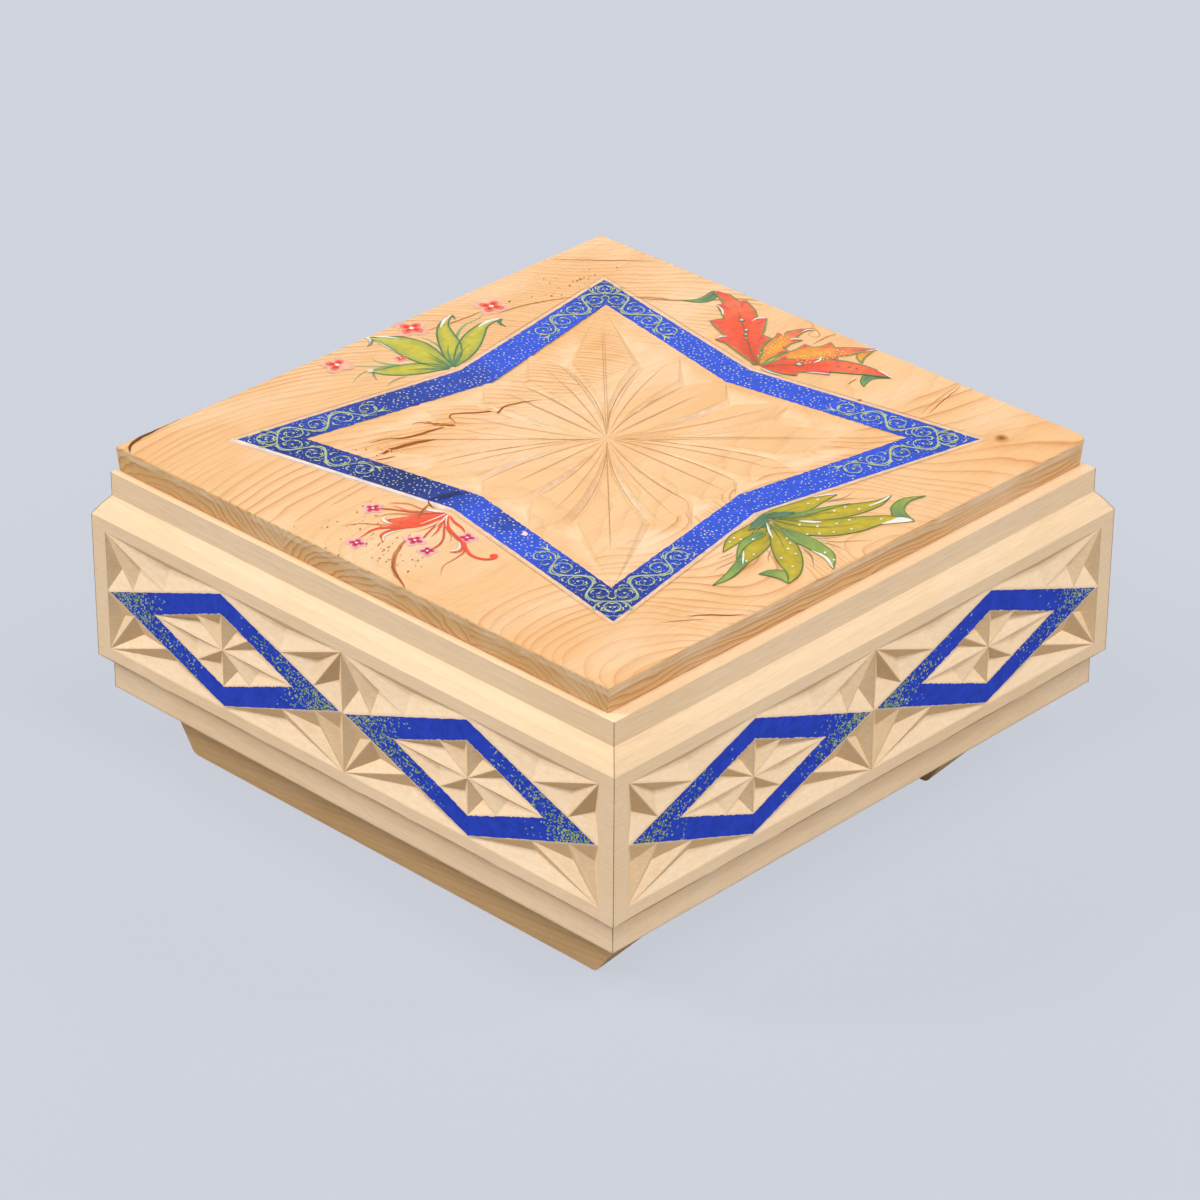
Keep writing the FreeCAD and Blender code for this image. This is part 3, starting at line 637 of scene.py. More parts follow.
def paint_band(painting, edges, middle, step, columns, ragged, tone_at, rng):
    """A closed painted band between two outlines, with hand-painted edges.

    ragged: two ranges, for where the paint starts and ends on the way from the outer to the inner edge.
    """
    outer, inner = ([*edge, edge[0]] for edge in edges)
    rows = []
    for i in range(len(outer) - 1):
        steps = round(math.dist(outer[i], outer[i + 1]) / step)
        for j in range(steps):
            a = mixed(outer[i], outer[i + 1], j / steps)
            b = mixed(inner[i], inner[i + 1], j / steps)
            start, end = (rng.uniform(*limits) for limits in ragged)
            rows.append([mixed(a, b, start + (end - start) * k / (columns - 1)) for k in range(columns)])
    rows.append(rows[0])
    tones = [[tone_at(u, v) for u, v in row] for row in rows]
    last = len(rows) - 1
    placed = [[(u + middle[0], v + middle[1]) for u, v in row] for row in rows]
    painting.grid(placed, 1, lambda s, t: tones[round(s * last)][round(t * (columns - 1))])


def paint_star(painting, rng):
    paint_band(painting, (STAR_OUTER, STAR_INNER), STAR_MIDDLE_MM, 1.6, 7, [(-0.012, 0.012), (0.982, 1.014)],
               lambda u, v: star_blue(u, v, rng.uniform(-0.05, 0.05)), rng)


# The walls' diamonds

DIAMOND_HALF = (70.0, 26.8)
OPENING_HALF = (41.2, 17.0)
WALL_BLUE = srgb(46, 75, 196)
WALL_BLUE_DARK = srgb(40, 62, 176)
FLECK_COLOURS = [srgb(156, 178, 112), srgb(188, 198, 130), srgb(122, 156, 108)]


def paint_diamonds(painting, rng, fleck_count, fleck_reach, lean):
    for middle in CELL_MIDDLES_MM:
        paint_diamond(painting, rng, middle)
        fleck_diamond(painting, rng, middle, fleck_count, fleck_reach, lean)


def paint_diamond(painting, rng, middle):
    edges = [[(wide, 0), (0, tall), (-wide, 0), (0, -tall)] for wide, tall in (DIAMOND_HALF, OPENING_HALF)]
    paint_band(painting, edges, (middle, FIELD_MIDDLE_MM), 1.7, 4, [(0.02, 0.05), (1.0, 0.95)],
               lambda u, v: mixed(WALL_BLUE, WALL_BLUE_DARK, rng.uniform(0.2, 0.75)), rng)


def fleck_diamond(painting, rng, middle, count, reach, lean):
    """Brush flecks, dense at the diamond's tips; lean says which bar at a tip has the longer tail."""
    for side in (-1, 1):
        placed = 0
        while placed < count:
            v = rng.uniform(-1, 1) * DIAMOND_HALF[1]
            tail = reach * (2.1 if side * v * lean > 0 else 1.0)
            u = DIAMOND_HALF[0] - 3.0 - abs(rng.gauss(0, tail))
            if u < 12 or not in_diamond_band(u, v):
                continue
            painting.dot(middle + side * u, FIELD_MIDDLE_MM + v, rng.uniform(0.2, 0.42), 2,
                         rng.choice(FLECK_COLOURS), rng.uniform(1.0, 2.0), rng.uniform(-0.6, 1.2), 6)
            placed += 1


def in_diamond_band(u, v):
    outer = abs(u) / (DIAMOND_HALF[0] - 1.6) + abs(v) / (DIAMOND_HALF[1] - 0.6)
    inner = abs(u) / (OPENING_HALF[0] + 1.2) + abs(v) / (OPENING_HALF[1] + 0.6)
    return outer < 1 < inner


# Ornament on the lid. Points are in millimetres from the middle of the box, X then Y.

LID_LIGHT = 1.36
LEAF_COLUMNS = 8


def on_top(red, green, blue):
    """A colour as the photograph shows it on the lid, taken down by the light that the lid gets."""
    tone = srgb(red, green, blue)
    return tuple(part / LID_LIGHT for part in tone[:3]) + (1.0,)


WHITE = on_top(255, 250, 238)
CHALK = on_top(255, 232, 214)
PALE_GREEN = on_top(176, 192, 118)
DARK_GREEN = on_top(84, 128, 84)
DEEP_GREEN = on_top(92, 134, 104)
LEAF_GREEN = on_top(150, 172, 84)
YELLOW = on_top(216, 200, 66)
OLIVE = on_top(208, 184, 52)
RED = on_top(252, 92, 58)
DULL_RED = on_top(226, 96, 62)
PINK = on_top(240, 92, 112)
CORAL = on_top(252, 132, 92)
ORANGE = on_top(252, 172, 66)
BROWN = on_top(176, 104, 56)
PALE_BROWN = on_top(224, 160, 104)
GOLD = on_top(222, 172, 82)

# Each leaf style: tones from base to tip, tone at the edges, rim colour and rim width.
GREEN_LEAF = ([on_top(134, 160, 84), YELLOW, YELLOW, on_top(206, 206, 106)], on_top(158, 176, 84),
              DARK_GREEN, 0.7)
OLIVE_LEAF = ([on_top(168, 152, 48), OLIVE, OLIVE, on_top(214, 192, 64)], on_top(176, 166, 62),
              on_top(112, 128, 58), 0.55)
PALE_LEAF = ([DEEP_GREEN, LEAF_GREEN, on_top(184, 192, 96)], LEAF_GREEN, on_top(110, 140, 74), 0.55)
BUD_LEAF = ([DEEP_GREEN] * 2, DEEP_GREEN, DEEP_GREEN, 0.3)
HOOK_LEAF = ([on_top(170, 190, 96), DEEP_GREEN, DEEP_GREEN], LEAF_GREEN, DARK_GREEN, 0.5)
TUFT_LEAF = ([RED, RED, on_top(250, 110, 74)], on_top(250, 120, 84), RED, 0.4)
RED_LEAF = ([on_top(206, 84, 56), RED, RED, CORAL, RED], on_top(252, 110, 74), on_top(128, 150, 84), 0.8)
ORANGE_LEAF = ([on_top(246, 152, 58), ORANGE, ORANGE, CORAL, PINK], on_top(252, 136, 78),
               on_top(132, 158, 86), 0.8)

CORAL_FLOWER = (on_top(252, 190, 164), on_top(255, 128, 96), on_top(240, 64, 46))
CRIMSON_FLOWER = (on_top(250, 192, 196), on_top(232, 84, 116), on_top(206, 40, 70))

# The back sprig. A leaf is its left and its right edge; a stroke has its width in front.
BACK_STEMS = [
    (0.8, -25.4, 130, -18, 121, -8, 112, 3, 98), (1.1, -33.6, 115, -28, 117.6, -21, 118.6, -9, 113, 3, 98),
    (1.6, -12, 126, -12, 120, -7, 111, 3, 98), (1.2, 17, 126, 17.4, 120, 15.6, 112, 9, 98),
    (1.4, 52, 122.4, 46, 121, 38, 120.4, 28, 115, 9, 98), (0.9, -25, 102.6, -20, 104.2, -13, 103.4)
]
GREEN_LEAVES = [
    ([4.6, 95.4, -1.6, 98.2, -9, 101.6, -15, 106.4, -19, 111.6, -21, 117.6],
     [5.6, 96.4, 2.6, 103.4, -3, 109.6, -10, 113.4, -16, 115.4, -21, 117.6]),
    ([7, 96, 11.5, 106, 17.5, 115, 24.5, 123.6, 32, 129.4, 41, 131.4],
     [8, 96, 17, 101, 24.5, 109, 29.2, 118, 34, 126.2, 41, 131.4]),
    ([7, 95.8, 15, 103, 24, 109.8, 34, 114.6, 45, 116.6, 53.6, 113.8],
     [7, 95, 18, 96.8, 28, 101.2, 37, 107.2, 45, 112.8, 53.6, 113.8]),
    ([5, 96, 0.4, 104, -1, 113, -0.6, 122, 1, 132, 0.3, 141.6],
     [7.4, 96, 11, 106, 13.6, 114, 14.2, 122, 10.6, 133, 0.3, 141.6]),
]
BACK_VEINS = [
    (6, 96, 7.4, 105, 8.8, 114), (4.6, 96, -3, 103, -10, 107.6), (4.6, 96, -2, 101, -6, 104),
    (8, 97, 14, 106, 20, 112), (8, 96, 17, 102, 27, 106), (6.4, 96, 6, 103, 6.2, 110),
    (9, 97, 15, 101, 21, 104.6)
]
BACK_LIGHTS = [
    (1.3, 3, 140, 6.4, 136.4, 9.4, 131), (1.4, 29, 126, 35, 129.8, 41, 131.5),
    (1.8, 41, 115, 48, 115.8, 53.4, 114), (0.5, -1, 122, 0.4, 132, 0.6, 138)
]


def paint_back_sprig(painting):
    """Yellow-green leaves with curled tips, and coral flowers on thin stems."""
    painting.strokes(BACK_STEMS, 1, PALE_GREEN, DEEP_GREEN)
    painting.leaves(GREEN_LEAVES, 2, GREEN_LEAF)
    painting.strokes(BACK_VEINS, 4, DEEP_GREEN, LEAF_GREEN, "end", 1.5)
    painting.strokes(BACK_LIGHTS, 5, WHITE)
    painting.strokes([(1.7, 0.6, 142, -0.8, 138.4, -6, 134.8)], 4, WHITE, DEEP_GREEN, "end")
    painting.strokes([(0.5, 0.8, 139.6, -0.6, 137.4, -4, 135)], 5, DEEP_GREEN)
    painting.strokes([(1.5, 41.2, 131.4, 40.4, 129.6, 39.8, 127.4),
                      (2.3, 53.6, 114, 50.6, 111.6, 49.6, 106.4)], 4, DEEP_GREEN, shape="end")
    painting.dot(-20.6, 117.8, 1.5, 5, on_top(226, 232, 206), sides=12)
    painting.strokes([(1.0, -20.4, 116.4, -23, 112.6, -25, 108.4)], 4, DEEP_GREEN, PALE_GREEN, "end")
    for u, v, size, turn, petals in [(-26.6, 131.8, 2.9, 0.5, 3), (20, 134.6, 3.2, 0.2, 4),
                                     (59.4, 125.4, 3.1, 0.45, 4), (-3.2, 117.2, 1.3, 0.5, 4)]:
        painting.flower(u, v, size, turn, CORAL_FLOWER, petals)


# The front sprig
FRONT_STEMS = [
    (-9, -118, -11, -124, -17, -131), (-8, -116, -9.4, -122, -12.6, -127), (0.6, -114, 5, -118.6, 10,
     -121.6),
    (1, -116, 5, -123, 9.4, -126.6, 16, -132), (0.4, -118, 2.2, -124, 2.6, -130),
    (27, -98, 33, -101, 38.4, -104), (27, -97.6, 35, -100.4, 42, -100), (-18, -109, -23, -112, -26, -115),
    (-30, -100, -38, -99), (-33, -105, -46, -104)
]
OLIVE_LEAVES = [
    ([-1, -87.6, -11, -89, -20, -89.4, -27, -92.4, -33, -97],
     [-2, -90, -10, -93.4, -17, -96, -25, -96.2, -33, -97]),
    ([1, -86.6, 10, -87.4, 19, -89.8, 28, -92, 35, -97],
     [2, -90, 9, -94.4, 17, -97.8, 26, -97.2, 35, -97]),
    ([-3, -92, -13, -95.6, -23, -98.6, -33, -105, -45, -109.6, -55.5, -112.2],
     [-4, -97, -12, -104, -21, -108, -32, -110, -45, -113.4, -55.5, -112.2]),
    ([3, -92, 14, -97, 25, -101.6, 34, -107, 42, -111.6, 50, -113],
     [4, -95, 11, -104, 20, -110.6, 30, -114.4, 41, -115.6, 50, -113]),
    ([-2.6, -92, -9, -100, -17, -108.4, -23.6, -117.6, -27.6, -126, -33.6, -132.4],
     [-1.6, -95, -3.4, -104, -8.4, -114.6, -16, -124, -25, -130.6, -33.6, -132.4]),
    ([1, -92, 8, -101.4, 18, -109.8, 29, -117.4, 37, -125.4, 39.6, -134],
     [-1, -96, -1.4, -106, 5.4, -116.8, 17, -123.8, 30, -127, 39.6, -134]),
]
PALE_LEAVES = [
    ([-2.4, -99, -6.4, -109, -7, -119, -8, -128.6, -12.6, -137.2],
     [-1.8, -99, 0.2, -109, -0.2, -119, -3.4, -129.4, -12.6, -137.2]),
    ([-36.2, -119, -34.4, -123, -33.4, -127.6, -33.6, -132.4],
     [-36.2, -119, -30.8, -120.2, -27.4, -125, -33.6, -132.4]),
    ([37, -124.6, 42.4, -119.6, 50.6, -118.4, 59, -123.4],
     [39.6, -134, 43.4, -125.4, 51, -121.8, 59, -123.4]),
    ([-9, -96, -19, -95.4, -26, -98.6, -34, -105.2],
     [-11, -99.4, -19, -99.4, -26, -101.2, -34, -105.2]),
    ([5, -93.4, 14, -97, 24, -101, 33, -106],
     [7, -96.4, 15, -100.4, 24, -103, 33, -106]),
    ([-29, -103.8, -38, -107, -47, -110.4, -55.5, -112.2],
     [-33, -109.8, -40, -111.8, -48, -113.4, -55.5, -112.2]),
]
BUD_LEAVES = [([0, -87, -6, -88.6, -13, -92], [0, -90.4, -4, -94.4, -13, -92]),
              ([0, -87, 6, -89.4, 12, -95], [0, -90, 4, -93.4, 12, -95])]
FRONT_VEINS = [
    (-4, -94, -12, -99.6, -21, -101), (-5, -97, -13, -102.4, -19, -103),
    (-3, -95, -8, -104, -14, -113, -18, -120), (-3, -97, -6.4, -106, -10, -112),
    (1, -95, 5, -105, 12, -113, 20, -118, 28, -120), (3, -94, 9, -104, 18, -111),
    (5, -95, 12, -100, 20, -104, 26, -109), (-2, -90, -9, -91.6, -16, -91.8), (-2, -91, -9, -93.6, -15, -94),
    (2, -89, 9, -91.4, 16, -92.6), (-0.4, -89, -1, -98, -2.6, -106), (0.6, -90, 2, -99, 4, -107),
    (2, -91, 8, -98, 15, -103), (-2, -100, -2.4, -110, -2.6, -118)
]
FRONT_LIGHTS = [
    (0.9, -3, -93, -7.6, -98.6, -11, -103.6), (0.8, -26.4, -102, -31, -106, -35, -109.4),
    (1.7, 7, -101, 10, -105, 13, -108.4), (1.2, 37, -113, 43, -113.8, 49.4, -113.2),
    (0.9, 26, -91.6, 31, -94, 34.6, -96.8), (1.3, -7.4, -121, -8, -129, -12.4, -137),
    (2.6, 28.6, -126.4, 34, -129, 39.4, -133.6), (2.0, 33, -127.4, 37.4, -129, 39.4, -133)
]
OLIVE_DOTS = [
    -25, -93.2, -21.5, -92.3, -20.5, -95, -17, -98.5, -26, -107, -32, -108.5, -7, -107.5, -9, -111, -13,
    -113.5, -20.5, -116.8, -14, -118.5, -22.5, -124.5, -7, -132.5, -5, -126, 5, -103.5, 9, -109.5, 1.2, -111,
    5, -114, 10, -117.3, 16, -113.5, 22, -115, 17, -120.5, 31.5, -123.5, 23.5, -105.5, 29, -106.5, 31.5,
    -111.8, 37, -113, 20.7, -94, 26, -94.5
]


def paint_front_sprig(painting):
    """Olive leaves with dark veins, white lights and rows of white dots."""
    painting.strokes(FRONT_STEMS, 1, DARK_GREEN, PALE_BROWN, width=0.5)
    painting.leaves(OLIVE_LEAVES[:4], 2, OLIVE_LEAF)
    painting.leaves(PALE_LEAVES[3:], 4, PALE_LEAF)
    painting.leaves(OLIVE_LEAVES[4:], 4, OLIVE_LEAF)
    painting.leaves(PALE_LEAVES[:3], 6, PALE_LEAF)
    painting.leaves(BUD_LEAVES, 6, BUD_LEAF)
    painting.strokes(FRONT_VEINS, 7, DARK_GREEN, OLIVE, "end", 0.75)
    painting.strokes(FRONT_LIGHTS, 8, WHITE)
    for u, v in pairs(OLIVE_DOTS):
        painting.dot(u, v, 0.55, 8, WHITE, 1.3, 0.6)


# The right sprig
HOOK_LEAVES = [
    ([122, 70, 127, 66.8, 132, 66.4, 138, 67.4],
     [122, 70, 126, 63.4, 131, 61.2, 138, 63]),
    ([115, -41, 118, -36.6, 124, -34.6, 129, -44],
     [115, -41, 119, -39.6, 123.6, -39.4, 129, -44]),
]
ORANGE_LEAVES = [
    ([98, 5.5, 106, 9, 113, 14.5, 120, 16.5, 124, 17.2, 127.5, 19, 127, 15.5, 131, 17, 137, 14.5, 141, 10.5],
     [99, 3.5, 107, 5, 112, 4.5, 118, 3.6, 118, 7, 124, 8, 129.5, 6.6, 130, 10.5, 136, 12, 141, 10.5]),
    ([99, 3, 106, 2.8, 113, 3.5, 122, 2.7, 127.5, 3.3, 127.5, -1, 131, -3, 136.5, -3.5, 134, -8, 138, -12,
      142, -17, 145, -22],
     [100, 2.5, 106, 2.3, 112, -1.4, 117, -8, 121, -10.5, 124, -13, 126.5, -16.5, 128, -14, 133, -17, 137,
      -18.5, 141, -20.5, 145, -22]),
    ([131, -26, 133.4, -21, 138, -18.6, 144, -21.5],
     [131, -26, 135, -23.6, 140, -22.4, 144, -21.5]),
]
RED_LEAVES = [
    ([98, 5, 100.5, 15, 104.3, 28, 104, 34, 109, 32.5, 112.5, 41.5, 115.5, 47.8, 121.5, 45, 126, 51, 129.5,
      56.5, 131.5, 54.5, 134, 58, 136, 62, 138, 67],
     [101, 6, 109, 12.5, 116, 16, 121.5, 17.5, 121, 22.5, 126, 25.5, 130.5, 29, 134.5, 32, 132, 35, 137, 41,
      141, 50, 138.5, 52, 140.5, 59, 138, 67]),
    ([97.5, 1, 98.5, -6, 102.6, -14, 106, -12, 110, -17.5, 113, -23.6, 115, -21.5, 120, -29, 125, -36, 129,
      -43.6],
     [99, 3, 107, 1.6, 113, -2.5, 117, -9.5, 120.5, -12, 124, -14.5, 127.4, -20, 129.6, -27, 130.4, -35, 129,
      -43.6]),
]
RED_TEETH = [
    (104.2, 33.4, 105.6, 30, 106, 26), (115.6, 47, 117, 43.6, 118.4, 41), (129.6, 55.6, 130, 52, 129, 49),
    (134, 32.4, 130, 31, 127.4, 31.6), (140.6, 50, 137.4, 49, 134, 46), (120, 20.6, 118, 21.4, 116, 20),
    (138.4, 65.4, 139.2, 61.6, 138.6, 58), (103, -13, 104, -10, 104.4, -6.6),
    (113.2, -22.6, 113.4, -18, 112, -13), (112.6, 0.6, 110, 1, 107, 0), (119.4, -10.6, 117, -8.6, 115, -6),
    (129.4, -42, 129.6, -38, 129, -34)
]
ORANGE_TEETH = [
    (127.2, 18.4, 125.4, 16.8, 123, 16), (129.4, 7.4, 127.4, 9, 125.4, 9.6),
    (117, 4.4, 114.4, 5.6, 111.6, 5.6), (127.2, 2.8, 124.6, 1.4, 122, 1.2),
    (136, -3.8, 132.6, -4.8, 130, -4.6), (126.6, -15.8, 125.4, -12.6, 124.6, -11),
    (144.6, -21.6, 141, -18, 138, -15.6), (140.6, 11, 136.6, 13.4, 133, 14)
]
RIGHT_LIGHTS = [
    (0.9, 123.4, 47.4, 127, 51.4, 129, 56.4), (1.0, 105, 34, 107.4, 33.8, 109.4, 32),
    (1.0, 128, 34.4, 131.4, 34.6, 134.8, 31.6), (0.9, 125.6, 11, 128, 9.6, 129.8, 7),
    (0.9, 135, 12, 138.4, 11.6, 141, 9.4), (1.0, 116.4, -11.2, 120, -11.6, 123.4, -9.4),
    (0.8, 107, -15.4, 110.6, -19, 113.4, -24), (0.9, 130.2, -35, 130, -40, 128.8, -44.4),
    (0.9, 97.4, 2, 97, -4, 98.6, -10), (0.8, 140, -20, 143, -21.4, 145.4, -22.6)
]
# Pearls: place and radius. Dotted patches: from, to and how much their rows rise.
PEARLS = [(125.3, 38.2, 1.5), (116.2, 27.4, 1.1), (119.6, 30.2, 1.3), (113.4, 24.8, 0.9), (111, -8, 1.9)]
DOTTED = [((105, 8), (128, 11), 0.22), ((114, -9), (134, -1), -0.42)]


def paint_right_sprig(painting, rng):
    """Red and orange toothed leaves with pink and white tips, green rims, dots and pearls."""
    painting.strokes([(0.8, 145.4, 20, 144.8, 15, 142, 11.4, 140.4, 7, 137.6, 4.4, 135.4, 6, 136, 9,
                       139.4, 9.6)], 1, GOLD)
    painting.strokes([(0.7, 112, -34.8, 115, -34.2, 119, -34)], 1, BROWN)
    painting.leaves(HOOK_LEAVES, 2, HOOK_LEAF)
    painting.leaves(ORANGE_LEAVES[:-1], 4, ORANGE_LEAF, sharp=True)
    painting.leaves(ORANGE_LEAVES[-1:], 4, ORANGE_LEAF)
    painting.leaves(RED_LEAVES, 6, RED_LEAF, sharp=True)
    painting.strokes(RED_TEETH, 8, PINK, RED, "end", 2.2)
    painting.strokes(ORANGE_TEETH, 7, PINK, CORAL, "end", 2.0)
    painting.strokes(RIGHT_LIGHTS, 9, WHITE)
    painting.strokes([(0.6, 98.6, 5, 106, 15, 115, 26, 125, 38, 131, 46)], 8, on_top(146, 110, 70))
    painting.strokes([(0.5, 100, 2, 107, -4, 111, -8, 117, -15)], 8, on_top(190, 130, 70))
    painting.strokes([(3.6, 98.4, 5, 102, 10.4, 108, 10.6)], 7, on_top(160, 96, 60), RED, "end")
    for u, v, radius in PEARLS:
        painting.dot(u, v, radius, 9, on_top(96, 110, 84), sides=12)
        painting.dot(u, v, radius * 0.7, 10, on_top(186, 190, 172), sides=10)
        painting.dot(u + radius * 0.15, v + radius * 0.2, radius * 0.36, 11, WHITE)
    for u, v in [(121.3, -21), (124, -25), (125.3, -28)]:
        painting.dot(u, v, 0.6, 8, BROWN, 1.3, 0.8)
    for low, high, slope in DOTTED:
        u = low[0]
        while u < high[0]:
            v = low[1]
            while v < high[1]:
                painting.dot(u + rng.uniform(-0.5, 0.5), v + (u - low[0]) * slope + rng.uniform(-0.4, 0.4),
                             0.36, 8, on_top(255, 226, 140), 1.5, 0.7)
                v += 2.2
            u += 2.4


# The left sprig
TUFT_LEAVES = [([-87, 5, -93, 9.4, -99, 13, -104, 15.6, -107.4, 17.4],
                [-87, 3.4, -94, 3, -101, 4, -107, 8.4, -109, 12.4])]
LEFT_TUFT = [
    (3.6, RED, "end", -88, 4, -100, 4.6, -107, 8.4, -112, 13, -117, 15.2, -125, 14.2),
    (2.9, RED, "end", -98, 4, -107, 8, -113, 10, -118, 9.6, -121, 5),
    (0.9, CORAL, "end", -107, 11, -112.6, 17, -116, 22, -120, 24.6, -124.4, 27.8),
    (1.1, CORAL, "end", -90, 8, -98, 15, -103, 20, -107, 21.6, -111, 22.4),
    (1.0, CORAL, "end", -92, 10, -97.6, 13.6, -101, 18.4, -104, 20.6),
    (1.1, DULL_RED, "none", -88, 6, -94, 12, -98, 19, -101, 24, -103.4, 26.6),
    (0.8, CORAL, "both", -89, 9, -91, 14, -91.6, 20, -94, 24, -97.4, 27.6),
    (0.8, CORAL, "both", -90, 10, -95.6, 16, -96.6, 21, -97.6, 24.4),
    (1.0, BROWN, "both", -86.4, 14.6, -92, 12.6, -97.6, 9.4),
    (1.0, CORAL, "end", -88, 3, -95, 0.8, -101, 0.8, -107, 2),
    (0.8, DULL_RED, "none", -88, 3, -97, 0, -103, -2, -107.6, -4),
    (2.0, RED, "end", -88, 2.6, -95, -1, -100, -4, -104.6, -5.4),
    (0.9, DULL_RED, "none", -88, 2.6, -96, -4, -102, -9.6, -107, -12.4, -113, -13.2),
    (0.7, DULL_RED, "end", -88, 2.6, -95, -4, -99, -11, -103.6, -14.6),
    (1.7, RED, "both", -87.6, 2, -94, -4, -98, -13, -99.6, -18, -103, -21.4, -106, -22, -108.8, -20),
    (1.3, RED, "both", -87, 2, -89.6, -3, -91, -9, -93, -12.6),
    (0.9, DULL_RED, "end", -96, -6, -98.4, -14, -100.4, -20, -104.4, -23.6, -110, -25, -118, -26, -124.6,
     -31),
    (1.5, RED, "none", -99, -18, -103, -24, -104.4, -29, -103, -33.6, -100, -35.8, -98, -35.4)
]
LEFT_LIGHTS = [
    (0.9, -120.8, 5.2, -118, 8, -114, 8.4, -109.6, 7), (0.6, -86.4, 4, -93, 4.2, -101, 5.2),
    (0.6, -86.8, 3, -92, 1, -98, -0.6), (1.5, -86.8, 5, -89, 9, -90.6, 12.4),
    (1.2, -108.2, 13, -108.9, 16.4, -107.6, 19, -105.8, 18.4),
    (0.9, -108.8, -18.8, -106, -20.6, -103, -19.8, -100, -16.4), (0.45, -86.6, 3.4, -91, 0, -95, -4),
    (0.4, -100, -3, -104.6, -4.9)
]


def paint_left_sprig(painting):
    """Red strokes like tufted grass with white lights, and small crimson flowers."""
    painting.leaves(TUFT_LEAVES, 2, TUFT_LEAF)
    for width, colour, shape, *line in LEFT_TUFT:
        painting.stroke(pairs(line), width, 4, colour, shape=shape)
    painting.dot(-98.4, -34.4, 1.7, 4, RED, sides=12)
    painting.strokes(LEFT_LIGHTS, 6, WHITE)
    for u, v, size, turn in [(-104.5, 28.2, 1.75, 0.1), (-129, 12, 1.75, 0.5), (-111.3, -3, 1.8, 0.3),
                             (-114, -12.7, 1.6, 0.8), (-95.3, -16.2, 1.75, 0.6)]:
        painting.flower(u, v, size, turn, CRIMSON_FLOWER)


# Scrolls and flecks on the star's band

SCROLL = on_top(206, 216, 160)
SCROLL_DIM = on_top(118, 144, 168)
SPECK = on_top(214, 222, 206)
SMEAR = on_top(34, 42, 88)
FLECK_GAP = 1.9
FLECK_TRIES = 430
# The vine: number of bends, their length and swing, and how far from the middle its hooks may reach.
BENDS = 5
BEND_PITCH = 12.4
BEND_SWING = 5.7
VINE_HALF = 7.2
# Small hooks about a spiral: turn and distance from its middle, how far it goes on and in.
HOOKS = [(0.1, 6.0, 0.18, 0.9), (0.42, 6.3, 0.16, 0.7), (0.75, 6.0, 0.2, 0.8), (1.2, 6.0, 0.16, 1.0),
         (0.2, 3.2, 0.4, 0.6), (0.95, 3.0, 0.4, 0.7), (-0.35, 3.4, 0.3, 0.5)]
# The marks of wear on the band, and a chip.
SMEARS = [(2.2, -84.5, 17.5, -78, 16.2, -69, 13.6), (1.2, -82, 14.6, -75, 13.4, -67.4, 11)]
CHIP = [-77.6, -32, -75.8, -31, -75.2, -28.6, -76.4, -28, -76.8, -29.6, -78.6, -29.4, -78.2, -31]


def paint_scrolls(painting):
    """Spiral vines from each tip of the star towards its notches, on both arms of the tip."""
    for i in range(0, 8, 2):
        for step in (1, -1):
            other = (i + step) % 8
            tip = mixed(STAR_OUTER[i], STAR_INNER[i], 0.5)
            notch = mixed(STAR_OUTER[other], STAR_INNER[other], 0.5)
            paint_vine(painting, tip, notch, step)


def paint_vine(painting, tip, notch, hand):
    """A waving stem down the middle of one arm, with a spiral and small leaves in each bend."""
    reach = math.dist(tip, notch)
    du, dv = (notch[0] - tip[0]) / reach, (notch[1] - tip[1]) / reach

    def at(forward, aside):
        aside *= hand
        return (STAR_MIDDLE_MM[0] + tip[0] + du * forward - dv * aside,
                STAR_MIDDLE_MM[1] + tip[1] + dv * forward + du * aside)

    def draw(points, width, coat, tone, shape="both"):
        painting.stroke([at(*point) for point in points], width, coat, tone, shape=shape)

    stem = [(BEND_PITCH * k / 4.0 - 3.5, -BEND_SWING * math.cos(math.pi * k / 4.0))
            for k in range(BENDS * 4 - 2)]
    draw(stem, 1.3, 3, SCROLL_DIM)
    draw(stem, 0.55, 4, SCROLL)
    for k in range(BENDS):
        side = -1 if k % 2 else 1
        middle = (BEND_PITCH * k - 3.0, side * 0.9)
        size = 5.4 * (1.0 - 0.04 * k)

        def around(turn, away):
            angle = side * math.pi * turn
            return (middle[0] + away * math.cos(angle), middle[1] + away * math.sin(angle))
        shares = [j / 20 for j in range(21)]
        spiral = [around(-0.8 + 2.7 * s, 0.5 + size * (1.0 - s) ** 0.62 * (1.08 - 0.3 * s)) for s in shares]
        draw(spiral, 0.95, 3, SCROLL_DIM, "end")
        draw(spiral, 0.5, 5, SCROLL, "end")
        painting.dot(*at(*spiral[-1]), 0.62, 5, SCROLL)
        for turn, away, onward, inward in HOOKS:
            hook = [around(turn, away), around(turn + onward / 2, away + inward), around(turn + onward, away)]
            if max(abs(aside) for _, aside in hook) < VINE_HALF:
                draw(hook, 0.8, 4, SCROLL, "start")
    u, v = stem[-1]
    for drift in (-3.4, 0.4, 3.0):
        draw([(u, v), (u + 2.4, v + drift * 0.2), (u + 5.4, v + drift)], 0.8, 4, SCROLL, "end")


